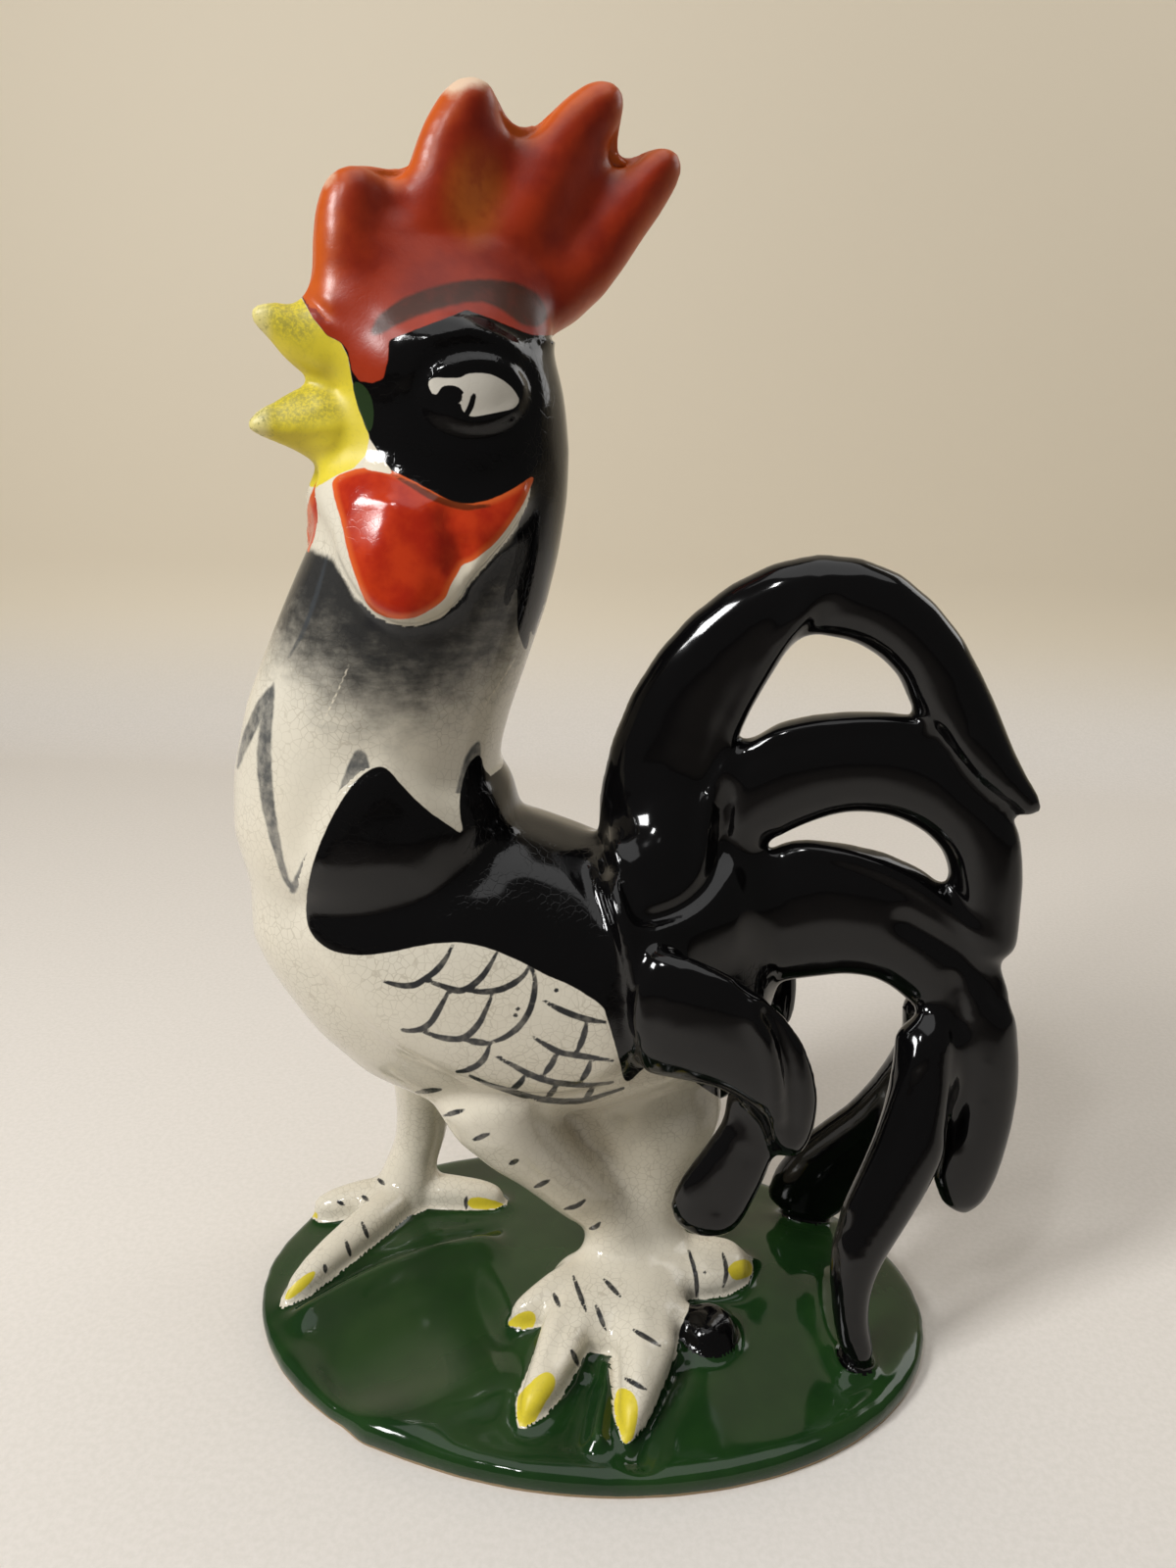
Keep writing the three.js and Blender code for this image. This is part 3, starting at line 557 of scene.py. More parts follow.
def nearest_nodes(places):
    """For each place, the number of the CAD node that is nearest to it."""
    names = sorted(frame["nodes"])
    work = bmesh.new()
    owners = []
    for number, name in enumerate(names):
        data = frame["nodes"][name].data
        work.from_mesh(data)
        owners += [number] * len(data.polygons)
    tree = BVHTree.FromBMesh(work)
    found = np.array([owners[tree.find_nearest(place)[2]] for place in places.tolist()])
    work.free()
    return names, found


def smoothed(mesh, values, strength, rounds):
    """Values, three to a vertex, drawn towards their neighbours' mean by each vertex's strength."""
    work = mesh.copy()
    pull = FULL_PULL * strength
    keep_attribute(work, "weight", pull / (1 - pull) / USUAL_NEIGHBOURS)
    attribute = work.attributes.new("value", "FLOAT_VECTOR", "POINT")
    attribute.data.foreach_set("vector", values.astype(np.float32).ravel())
    obj = new_object("smoothed", work)
    add_recipe(obj, BLUR, rounds)
    result = evaluated(obj)
    bpy.data.objects.remove(obj)
    found = np.zeros(values.size)
    result.attributes["value"].data.foreach_get("vector", found)
    bpy.data.meshes.remove(result)
    bpy.data.meshes.remove(work)
    return found.reshape(-1, 3)


def smoothed_scalar(mesh, values, rounds):
    """The same for one value to a vertex, at full strength."""
    return smoothed(mesh, np.repeat(values[:, None], 3, axis=1), np.ones(len(values)), rounds)[:, 0]


def smooth_skin(skin):
    """Takes the facets away. What was taken off is smoothed and added back, so that nothing shrinks."""
    places = vertex_places(skin)
    names, owner = nearest_nodes(places)
    strength = np.array([SMOOTHING.get(name, PLUME_SMOOTHING) for name in names])[owner]
    strength = smoothed_scalar(skin, strength, STRENGTH_ROUNDS)
    once = smoothed(skin, places, strength, SMOOTHING_ROUNDS)
    again = smoothed(skin, places - once, strength, SMOOTHING_ROUNDS)
    move_vertices(skin, once + again)
    return names, owner


# Where the brush went

def picked(view, *points):
    """Points read off an enlarged view of the photo, as places in the photo's own frame of pixels."""
    x, y, scale = VIEWS[view]
    return np.array([(x + scale * across, y + scale * down) for across, down in points])


def oval(middle, radii, count):
    """That many points round an oval."""
    x, y = middle
    across, down = radii
    turns = np.linspace(0, 2 * math.pi, count, endpoint=False)
    return [(x + across * math.cos(turn), y + down * math.sin(turn)) for turn in turns]


def rounded_path(path, closed=False):
    """The path with its corners cut twice."""
    for _ in range(2):
        following = np.roll(path, -1, axis=0) if closed else path[1:]
        before = path if closed else path[:-1]
        side = following - before
        cut = np.stack([before + CORNER_CUT * side, following - CORNER_CUT * side], axis=1).reshape(-1, 2)
        path = cut if closed else np.vstack([path[:1], cut[1:-1], path[-1:]])
    return path


def path_distance(spots, path):
    """Each spot's distance from the path, and how far along it the nearest point lies, from 0 to 1."""
    best = np.full(len(spots), np.inf)
    along = np.zeros(len(spots))
    lengths = np.linalg.norm(np.diff(path, axis=0), axis=1)
    done = 0.0
    for start, end, length in zip(path[:-1], path[1:], lengths):
        share = np.clip((spots - start) @ (end - start) / max(length ** 2, SMALLEST), 0, 1)
        gap = np.linalg.norm(spots - start - share[:, None] * (end - start), axis=1)
        closer = gap < best
        best[closer] = gap[closer]
        along[closer] = (done + share[closer] * length) / lengths.sum()
        done += length
    return best, along


def patch_distance(spots, outline):
    """How far inside the closed outline each spot lies, below zero when it is outside."""
    closed = np.vstack([outline, outline[:1]])
    gap, _ = path_distance(spots, closed)
    inside = np.zeros(len(spots), dtype=bool)
    for (x_start, y_start), (x_end, y_end) in zip(closed[:-1], closed[1:]):
        if y_start != y_end:
            between = (y_start > spots[:, 1]) != (y_end > spots[:, 1])
            x_there = x_start + (spots[:, 1] - y_start) * (x_end - x_start) / (y_end - y_start)
            inside ^= between & (spots[:, 0] < x_there)
    return np.where(inside, gap, -gap)


class Skin:
    """The skin's vertices, with what the brush and the modelling tool need to know about each."""

    def __init__(self, mesh, names, owner):
        self.mesh = mesh
        self.names = names
        self.owner = owner
        self.layers = {}
        self.look()

    def look(self):
        """Sees each vertex in the photo, those of the far side as the mirror of the near one."""
        self.places = vertex_places(self.mesh)
        self.normals = vertex_normals(self.mesh)
        height = self.places[:, 2] / MM
        turn = np.radians(np.interp(height, MIRROR_HEIGHTS, MIRROR_TURNS))
        middle = np.stack([np.interp(height, MIRROR_HEIGHTS, MIRROR_MIDDLES_X),
                           np.interp(height, MIRROR_HEIGHTS, MIRROR_MIDDLES_Y)], axis=1) * MM
        aside = np.stack([-np.sin(turn), np.cos(turn)], axis=1)
        self.aside = ((self.places[:, :2] - middle) * aside).sum(1) / MM
        mirrored = (self.aside > 0) & ~self.on(ONE_SIDED_NODES)
        seen = self.places.copy()
        facing = self.normals.copy()
        seen[mirrored, :2] -= 2 * self.aside[mirrored, None] * MM * aside[mirrored]
        lean = (facing[:, :2] * aside).sum(1)
        facing[mirrored, :2] -= 2 * lean[mirrored, None] * aside[mirrored]
        self.mirrored = mirrored
        self.own_spots, _ = to_photo(self.places)
        self.spots, depth = to_photo(seen)
        self.mm_per_pixel = depth / FOCAL_PIXELS / MM
        away = CAMERA_PLACE - seen
        self.facing = (facing * away).sum(1) / np.linalg.norm(away, axis=1)

    def on(self, nodes):
        """Which vertices belong to those nodes."""
        numbers = [number for number, name in enumerate(self.names) if name in nodes]
        return np.isin(self.owner, numbers)

    def near(self, nodes, path, reach, facing):
        """The vertices on those nodes, turned to the view, whose spots lie in the path's frame."""
        low = path.min(0) - reach
        high = path.max(0) + reach
        inside = ((self.spots > low) & (self.spots < high)).all(1) & (self.facing > facing)
        if nodes:
            inside &= self.on(nodes)
        return np.flatnonzero(inside)

    def layer(self, name):
        """A layer of paint, blank where nothing has been painted yet."""
        return self.layers.setdefault(name, np.full(len(self.places), -BLANK))

    def patch(self, name, nodes, outline, facing=SEEN):
        """Fills an outline on a layer: millimetres inside its edge."""
        outline = rounded_path(outline, closed=True)
        found = self.near(nodes, outline, BRUSH_REACH, facing)
        inside = patch_distance(self.spots[found], outline) * self.mm_per_pixel[found]
        layer = self.layer(name)
        layer[found] = np.maximum(layer[found], inside)

    def far_patch(self, name, nodes, outline):
        """Fills an outline on the part of the far side that the photo shows."""
        outline = rounded_path(outline, closed=True)
        low = outline.min(0) - BRUSH_REACH
        high = outline.max(0) + BRUSH_REACH
        close = ((self.own_spots > low) & (self.own_spots < high)).all(1)
        found = np.flatnonzero(close & self.mirrored & self.on(nodes))
        inside = patch_distance(self.own_spots[found], outline) * self.mm_per_pixel[found]
        layer = self.layer(name)
        layer[found] = np.maximum(layer[found], inside)

    def line(self, name, nodes, width, path, ends=(1, 1), facing=SEEN):
        """Draws a line on a layer: its width in millimetres, and the shares of it at the start and end."""
        path = rounded_path(path)
        found = self.near(nodes, path, BRUSH_REACH, facing)
        gap, along = path_distance(self.spots[found], path)
        half = width / 2 * np.interp(along, LINE_SHARES, (ends[0], 1, 1, ends[1]))
        layer = self.layer(name)
        layer[found] = np.maximum(layer[found], half - gap * self.mm_per_pixel[found])

    def groove(self, nodes, depth, width, path, facing=SEEN, fades=(0.15, 0.15)):
        """Presses a groove of that depth and width in millimetres. A negative depth makes a ridge."""
        path = rounded_path(path)
        found = self.near(nodes, path, TOOL_REACH, facing)
        gap, along = path_distance(self.spots[found], path)
        gap = gap * self.mm_per_pixel[found]
        press = depth * np.exp(-(gap / (0.5 * width)) ** 2)
        if fades[0]:
            press *= smooth_step(along, 0, fades[0])
        if fades[1]:
            press *= smooth_step(1 - along, 0, fades[1])
        self.pressed[found] += press

    def fill(self, nodes, outline, fade=MELT_FADE):
        """Spans an outline with a taut sheet, over the step that was there."""
        outline = rounded_path(outline, closed=True)
        found = self.near(nodes, outline, FILL_REACH, PAST_THE_EDGE)
        pull = np.zeros(len(self.places))
        inside = patch_distance(self.spots[found], outline) * self.mm_per_pixel[found]
        pull[found] = FULL_PULL * smooth_step(inside, 0, fade)
        edges = np.zeros(len(self.mesh.edges) * 2, dtype=np.int64)
        self.mesh.edges.foreach_get("vertices", edges)
        edges = edges.reshape(-1, 2)
        edges = edges[(pull[edges] > 0).any(1)]
        mine, local = np.unique(edges, return_inverse=True)
        local = local.reshape(-1, 2)
        here = np.concatenate([local[:, 0], local[:, 1]])
        there = np.concatenate([local[:, 1], local[:, 0]])
        count = np.bincount(here)[:, None]
        places = self.places[mine]
        share = pull[mine][:, None]
        for _ in range(FILL_ROUNDS):
            total = np.stack([np.bincount(here, weights=places[there, axis]) for axis in range(3)], axis=1)
            places += share * (total / count - places)
        self.places[mine] = places
        move_vertices(self.mesh, self.places)
        self.look()

    def melt(self):
        """Smooths the areas of the layer melt until their steps are gone."""
        strength = smooth_step(self.layers.pop("melt"), 0, MELT_FADE)
        strength = smoothed_scalar(self.mesh, strength, STRENGTH_ROUNDS)
        move_vertices(self.mesh, smoothed(self.mesh, self.places, strength, MELT_ROUNDS))
        self.look()

    def start_pressing(self):
        """Begins a set of grooves and ridges, which are pressed all at once."""
        self.pressed = np.zeros(len(self.places))

    def finish_pressing(self):
        pressed = smoothed_scalar(self.mesh, self.pressed, PRESSING_ROUNDS)
        move_vertices(self.mesh, self.places - self.normals * pressed[:, None] * MM)
        self.look()

    def region(self, name, nodes):
        """A layer that is above zero on those nodes, and counts the millimetres from their seam."""
        mine = self.distance_to([n for n in self.names if n in nodes])
        rest = self.distance_to([n for n in self.names if n not in nodes])
        self.layers[name] = np.clip((rest - mine) / 2, -BLANK, BLANK)

    def inside(self, outline):
        """How many millimetres inside an outline in the photo's frame each vertex is seen."""
        return np.clip(patch_distance(self.spots, outline) * self.mm_per_pixel, -BLANK, 2 * BLANK)

    def distance_to(self, nodes):
        """Each vertex's distance from those nodes' solids, in millimetres."""
        work = bmesh.new()
        for name in nodes:
            work.from_mesh(frame["nodes"][name].data)
        tree = BVHTree.FromBMesh(work)
        found = [tree.find_nearest(place, 2 * BLANK * MM)[3] for place in self.places.tolist()]
        work.free()
        return np.array([2 * BLANK if gap is None else gap / MM for gap in found])

    def keep_layers(self):
        """Stores the layers with the skin, for the materials to read."""
        for name, values in self.layers.items():
            keep_attribute(self.mesh, name, values)


def melt_steps(skin):
    """The steps between the solids that the real bird hasn't: its moulds ran them together."""
    skin.fill(BODY_NODES + TAIL_NODES, picked(
        "photo", (640, 800), (722, 800), (738, 850), (732, 905), (700, 940), (655, 945), (634, 900),
        (626, 850)))
    skin.fill(HEAD_NODES, picked(
        "crown", (300, 520), (420, 500), (640, 490), (800, 500), (920, 600), (955, 720), (930, 800),
        (850, 830), (760, 790), (690, 770), (600, 795), (500, 800), (400, 785), (310, 740)), fade=HEAD_FADE)
    skin.patch("melt", HEAD_NODES, picked(
        "crown", (310, 700), (560, 740), (570, 850), (530, 940), (440, 985), (355, 940), (340, 830)))
    skin.line("melt", HEAD_NODES + ("neck_shell",), 9, picked(
        "crown", (330, 1180), (480, 1190), (600, 1250), (700, 1290), (820, 1255), (890, 1190)))
    skin.patch("melt", ("neck_shell", "torso_shell"), picked(
        "photo", (215, 850), (300, 850), (310, 950), (215, 950)), facing=ALL_ROUND)
    skin.patch("melt", ("torso_shell", "neck_shell") + WING_NODES, picked(
        "photo", (305, 890), (430, 885), (430, 930), (305, 935)))
    skin.line("melt", BODY_NODES + TAIL_NODES, 9, picked("photo", (774, 865), (776, 930), (772, 1000)))
    skin.line("melt", HEAD_NODES, 7, picked(
        "crown", (222, 690), (290, 790), (350, 850), (378, 985), (412, 1080), (365, 1172)))
    stone = oval((712, 1362), (30, 24), 12)
    skin.line("melt", ("base", "ground_stone"), 4, picked("photo", *stone, stone[0]))
    skin.patch("melt", LEG_NODES + FOOT_NODES, picked(
        "photo", (583, 1225), (700, 1225), (712, 1320), (690, 1365), (605, 1375), (565, 1345), (583, 1300)))
    skin.melt()


def round_comb(skin):
    """Rounds the comb's lobes off towards their edges, from its middle plane outwards."""
    mine = np.flatnonzero(skin.on(("comb",)))
    places = skin.places[mine]
    middle = places.mean(0)
    _, axes = np.linalg.eigh(np.cov((places - middle).T))
    across = axes[:, 0]
    off = (places - middle) @ across
    flat = places - off[:, None] * across
    spots, depth = to_photo(flat)
    outline = picked("photo", *COMB_EDGE, (560, 520), (300, 520))
    inward = patch_distance(spots, outline) * depth / FOCAL_PIXELS / MM
    share = np.sqrt(1 - (1 - np.clip(inward / COMB_ROUND_REACH, 0, 1)) ** 2)
    share = COMB_EDGE_SHARE + (1 - COMB_EDGE_SHARE) * share
    skin.places[mine] = flat + (off * share)[:, None] * across
    rim = np.full(len(skin.places), 2 * BLANK)
    rim[mine] = np.clip(inward, -BLANK, 2 * BLANK)
    skin.layers["comb_rim"] = rim
    even = skin.on(("comb",)) * COMB_EVENING_PULL
    move_vertices(skin.mesh, smoothed(skin.mesh, skin.places, even, COMB_EVENING_ROUNDS))
    skin.look()


def model_head(skin):
    """The comb's lobes and valleys, the eye, the wattle's fold and the beak's edge."""
    comb = ("comb",)
    for depth, width, path in (
            (1.6, 9, ((398, 165), (405, 190), (409, 212), (413, 240))),
            (2.0, 10, ((534, 118), (524, 160), (512, 190), (506, 222), (508, 258))),
            (2.0, 9, ((632, 155), (606, 205), (580, 250), (560, 290))),
            (-0.9, 10, ((352, 190), (352, 240), (356, 285))),
            (-1.0, 10, ((478, 100), (462, 150), (456, 205), (462, 255))),
            (-1.0, 10, ((612, 104), (574, 160), (550, 215), (535, 265))),
            (-0.8, 8, ((680, 168), (650, 210), (615, 262)))):
        skin.groove(comb, depth, width, picked("photo", *path), facing=0.1, fades=(0, 0.5))
    eye = HEAD_NODES
    skin.groove(eye, -0.9, 15, picked("crown", (690, 955), (740, 955)), fades=(0, 0))
    skin.groove(eye, 0.6, 3.2, picked(
        "crown", (530, 960), (560, 900), (620, 850), (700, 828), (790, 840), (860, 890), (885, 960),
        (860, 1030), (790, 1075), (700, 1090), (610, 1070), (550, 1020), (530, 960)), fades=(0, 0))
    skin.groove(eye, -0.5, 2.2, picked(
        "crown", (565, 935), (600, 890), (660, 866), (740, 858), (800, 880), (845, 925), (858, 975)))
    skin.groove(eye, -0.45, 2.4, picked(
        "crown", (600, 990), (660, 1035), (730, 1045), (800, 1020), (850, 980)))
    skin.groove(eye, -0.7, 4, picked("crown", (560, 760), (640, 750), (720, 770), (800, 820), (860, 890)))
    wattle = WATTLE_NODES + ("neck_shell", "head_shell")
    skin.groove(wattle, 1.5, 5.5, picked(
        "throat", (840, 110), (880, 180), (915, 255), (935, 320), (915, 375), (870, 420)), fades=(0.3, 0.1))
    skin.groove(wattle, -1.3, 17, picked("throat", (680, 330), (730, 460)), fades=(0, 0))
    skin.groove(wattle, -0.7, 4, picked("throat", (880, 385), (900, 400)), fades=(0, 0))
    skin.groove(BEAK_NODES, -0.45, 2, picked("crown", (60, 1046), (200, 1062), (350, 1052)), fades=(0, 0.2))
    skin.groove(BEAK_NODES, 0.5, 4, picked("crown", (120, 1010), (190, 1000), (260, 960)))


def model_body(skin):
    """The saddle's double edge, the plumes' bevels and the leaves pressed into the ground."""
    saddle = BODY_NODES + TAIL_NODES
    skin.groove(saddle, -1.0, 4.5, picked(
        "photo", (597, 868), (618, 905), (638, 945), (646, 1000), (652, 1070)))
    skin.groove(saddle, 0.7, 4, picked(
        "photo", (586, 872), (606, 912), (624, 950), (632, 1005), (637, 1075)))
    plumes = TAIL_NODES
    skin.groove(plumes, -2.4, 17, picked("photo", (705, 790), (682, 850), (668, 905)), fades=(0.4, 0.35))
    for depth, width, path in (
            (-1.5, 4.5, ((610, 120), (560, 190), (515, 245), (465, 335), (410, 440), (375, 540), (345, 640),
                         (335, 720), (345, 800))),
            (1.0, 6, ((655, 130), (610, 205), (560, 270), (505, 360), (450, 460), (415, 560))),
            (2.0, 4.5, ((75, 700), (150, 760), (180, 810), (205, 868), (285, 850), (350, 805), (385, 730),
                        (392, 640), (405, 540))),
            (-1.3, 4, ((375, 600), (400, 520), (470, 470), (580, 440), (700, 430), (810, 432), (870, 455))),
            (1.2, 5, ((830, 430), (880, 490), (930, 560), (990, 610), (1060, 645))),
            (-1.3, 4, ((470, 760), (510, 705), (600, 710), (720, 745), (830, 800), (930, 880), (990, 940))),
            (1.3, 5, ((750, 850), (840, 900), (920, 950), (990, 1020), (1030, 1100))),
            (1.3, 5, ((900, 960), (915, 1060), (910, 1180), (905, 1300), (900, 1400))),
            (-1.4, 4, ((840, 1125), (790, 1230), (745, 1350), (700, 1450), (650, 1560))),
            (-1.8, 5, ((440, 1040), (495, 1140), (520, 1250), (515, 1390))),
            (2.4, 4.5, ((460, 1040), (470, 1060), (510, 1110), (535, 1220), (530, 1380)))):
        skin.groove(plumes, depth, width, picked("tail", *path), facing=ALL_ROUND)
    skin.groove(("hook_feather_left",), 0.7, 5, picked("legs", (890, 250), (850, 330), (800, 430)))
    ground = ("base",)
    for depth, width, path in (
            (2.0, 3, ((285, 1343), (350, 1306), (395, 1284), (450, 1265), (522, 1253))),
            (-3.2, 7, ((285, 1358), (350, 1321), (395, 1299), (450, 1280), (525, 1267))),
            (2.6, 20, ((320, 1420), (380, 1385), (440, 1352), (520, 1325))),
            (-2.8, 4.5, ((629, 1380), (622, 1412), (613, 1445), (606, 1490))),
            (0.8, 7, ((600, 1400), (590, 1440), (578, 1485))),
            (1.8, 6, ((700, 1380), (678, 1425), (658, 1465), (650, 1510))),
            (-1.6, 12, ((345, 1455), (420, 1445), (490, 1420), (540, 1395))),
            (-1.6, 7, ((838, 1285), (832, 1330), (846, 1375), (876, 1420)))):
        skin.groove(ground, depth, width, picked("photo", *path), facing=ALL_ROUND)
    foot = FOOT_NODES
    skin.groove(foot, 0.8, 4, picked("photo", (563, 1388), (572, 1362), (584, 1335)), fades=(0, 0.4))
    skin.groove(foot, 0.9, 4, picked("photo", (620, 1384), (622, 1358), (625, 1330)), fades=(0, 0.4))
    skin.groove(foot, -0.6, 4, picked("photo", (600, 1335), (590, 1365), (570, 1400)))
    skin.groove(foot, -0.6, 4, picked("photo", (655, 1330), (655, 1370), (648, 1420)))


def paint_head(skin):
    """The large areas of colour on the head: yellow beak, red comb and wattles, black face."""
    # Olive grains: dirt on the upper beak's top, then painted shade inside the mouth between the beaks
    skin.patch("beak_dirt_and_shade", BEAK_NODES, picked(
        "crown", (95, 700), (150, 682), (230, 686), (268, 740), (250, 800), (200, 810),
        (130, 770)), facing=PAST_THE_EDGE)
    skin.patch("beak_dirt_and_shade", BEAK_NODES, picked(
        "crown", (80, 990), (150, 948), (230, 915), (290, 940), (340, 1010), (290, 1036), (180, 1048),
        (95, 1044)),
        facing=PAST_THE_EDGE)
    skin.far_patch("wattle", WATTLE_NODES + ("neck_shell", "head_shell"), picked(
        "throat", (395, 10), (455, 30), (466, 140), (430, 215), (385, 305), (340, 320), (340, 150)))
    comb_paint = picked("photo", *COMB_FOOT, (300, 280), (200, 0), (800, 0), (800, 345))
    on_head = skin.on(HEAD_NODES)
    skin.layers["comb"] = np.where(on_head, skin.inside(comb_paint), -BLANK)
    skin.layers["yellow"] = np.where(on_head, skin.inside(picked(
        "crown", (222, 690), (250, 740), (290, 790), (330, 810), (350, 850), (362, 920), (378, 985),
        (398, 1040), (412, 1080), (402, 1130), (365, 1172), (330, 1184), (300, 1200), (200, 1260),
        (-200, 1260), (-200, 560), (150, 560))), -BLANK)
    below = skin.inside(picked(
        "crown", *FACE_EDGE, (905, 1240), (905, 1700), (0, 1700), (0, 1150), (395, 1130)))
    on_throat_too = skin.on(HEAD_NODES + ("neck_shell",))
    black = skin.layers["black"]
    black = np.where(on_throat_too, np.minimum(black, -below), black)
    skin.layers["black"] = np.where(on_head, np.minimum(black, -skin.layers["yellow"]), black)
    skin.patch("wattle", WATTLE_NODES, picked("throat", *WATTLE), facing=ALL_ROUND)
    skin.patch("wattle", ("neck_shell", "head_shell"), picked("throat", *WATTLE))
    skin.line("comb_tip", ("comb",), 3.2, picked(
        "crown", (650, 80), (690, 54), (745, 54)), facing=ALL_ROUND)
    skin.line("comb_tip", ("comb",), 1.5, picked("crown", (280, 350), (298, 330)), facing=ALL_ROUND)


def paint_face(skin):
    """The eye, the brow, the green lappet and the thin lines at the borders of the face."""
    face = HEAD_NODES
    throat = HEAD_NODES + ("neck_shell",)
    skin.patch("eye_white", face, picked(
        "head", (583, 893), (600, 879), (640, 881), (680, 881), (692, 868), (740, 866), (778, 877),
        (812, 900), (838, 935), (837, 952), (818, 968), (775, 976), (735, 984), (700, 990), (672, 960),
        (690, 925), (672, 905), (650, 900), (625, 902), (612, 925), (600, 930)))
    skin.patch("pupil", face, picked("head", *oval((648, 932), (33, 28), 16)))
    skin.line("pupil", face, 1.1, picked("head", (712, 930), (705, 960), (690, 985)))
    skin.line("eye_white", face, 0.7, picked("head", (695, 920), (668, 948)))
    skin.patch("brow", face, picked(
        "crown", (412, 788), (425, 750), (460, 712), (520, 678), (600, 648), (680, 632), (760, 628),
        (830, 638), (880, 660), (915, 700), (922, 745), (890, 768), (850, 762), (810, 732), (760, 700),
        (700, 693), (620, 712), (520, 745), (440, 790)))
    skin.patch("olive", face, picked(
        "crown", (360, 918), (395, 930), (415, 960), (424, 1000), (424, 1040), (410, 1075), (392, 1030),
        (374, 985)))
    skin.line("brown_line", throat, 1.3, picked(
        "crown", (480, 1190), (540, 1222), (610, 1262), (690, 1284), (760, 1276)), ends=(0.3, 0.3))
    skin.patch("bare", throat, picked(
        "crown", (410, 1082), (440, 1130), (484, 1190), (450, 1182), (388, 1172), (404, 1140)))
    skin.patch("bare", throat, picked(
        "throat", (1162, 140), (1110, 225), (1060, 285), (1020, 315), (985, 345), (940, 362), (925, 392),
        (893, 442), (882, 482), (850, 514), (805, 542), (740, 570), (790, 582), (850, 570), (885, 540),
        (915, 485), (955, 425), (1000, 372), (1060, 322), (1120, 250), (1155, 185)))


def paint_neck(skin):
    """The grey strokes on the breast, the black down the nape and the wash between."""
    body = ("neck_shell", "torso_shell", "head_shell")
    skin.patch("grey_stroke", body, picked(
        "throat", (226, 800), (214, 850), (186, 930), (150, 1000), (112, 1080), (82, 1150), (80, 1120),
        (90, 1050), (120, 960), (165, 870), (208, 822)), facing=WELL_PAST_THE_EDGE)
    skin.patch("grey_stroke", body, picked(
        "throat", (226, 800), (224, 880), (214, 980), (212, 1080), (216, 1180), (226, 1290), (248, 1418),
        (262, 1500), (285, 1570), (318, 1606), (290, 1606), (262, 1570), (235, 1500), (205, 1400),
        (178, 1290), (160, 1180), (156, 1080), (166, 980), (186, 890), (208, 822)))
    skin.line("grey_stroke", body, 1.6, picked(
        "photo", (299, 908), (306, 893), (315, 875), (326, 858), (333, 840)), ends=(1, 0.2))
    skin.patch("grey_stroke", body, picked(
        "throat", (540, 1058), (572, 1072), (584, 1110), (590, 1150), (520, 1200), (470, 1290), (440, 1340),
        (440, 1300), (470, 1225), (492, 1150), (515, 1095)))
    skin.patch("grey_stroke", body, picked(
        "throat", (1004, 1024), (1012, 1060), (1010, 1110), (970, 1180), (945, 1260), (940, 1370),
        (915, 1370), (905, 1330), (918, 1210), (938, 1130), (960, 1070)))
    skin.line("grey_stroke", body, 0.9, picked("throat", (425, 325), (392, 450), (335, 620), (275, 715)),
              ends=(0.5, 0.5))
    skin.line("bare", body, 0.35, picked("throat", (520, 715), (470, 830), (400, 980)), ends=(0.2, 0.2))
    skin.line("bare", body, 0.3, picked("throat", (1150, 700), (1090, 800), (980, 960)), ends=(0.2, 0.2))
    skin.line("wash_stroke", body, 3.4, picked(
        "throat", (600, 575), (680, 600), (780, 608), (860, 590), (930, 510), (1000, 425), (1080, 345),
        (1140, 260)))
    skin.patch("black", body, picked(
        "throat", (1218, 18), (1180, 110), (1150, 210), (1150, 290), (1132, 370), (1106, 440), (1094, 500),
        (1112, 524), (1132, 470), (1150, 440), (1150, 530), (1148, 590), (1160, 640), (1180, 692),
        (1192, 660), (1200, 600), (1212, 640), (1232, 560), (1262, 480), (1500, 380), (1700, 0),
        (1500, -200), (1230, -60)),
        facing=ALL_ROUND)
    back = skin.on(("neck_shell", "head_shell")) & (skin.facing < NAPE_TURN) & (skin.normals[:, 0] > 0)
    skirt = NAPE_EDGE + NAPE_TIP * np.cos(np.abs(skin.aside) * 2 * math.pi / NAPE_TIP_WIDTH)
    height = skin.places[:, 2] / MM - skirt
    layer = skin.layer("black")
    layer[back] = np.maximum(layer[back], np.clip(height[back], -BLANK, BLANK))
    left, top, scale = VIEWS["throat"]
    across = (skin.spots[:, 0] - left) / scale
    down = (skin.spots[:, 1] - top) / scale
    start = np.interp(across, WASH_ACROSS, WASH_TOP)
    share = (down - start) / (np.interp(across, WASH_ACROSS, WASH_BOTTOM) - start)
    wash = np.interp(share, WASH_LEVELS, WASH_STRENGTHS) * (share > 0)
    wash = smoothed_scalar(skin.mesh, wash, WASH_ROUNDS)
    skin.layers["wash"] = np.where(skin.on(body), wash, 0)


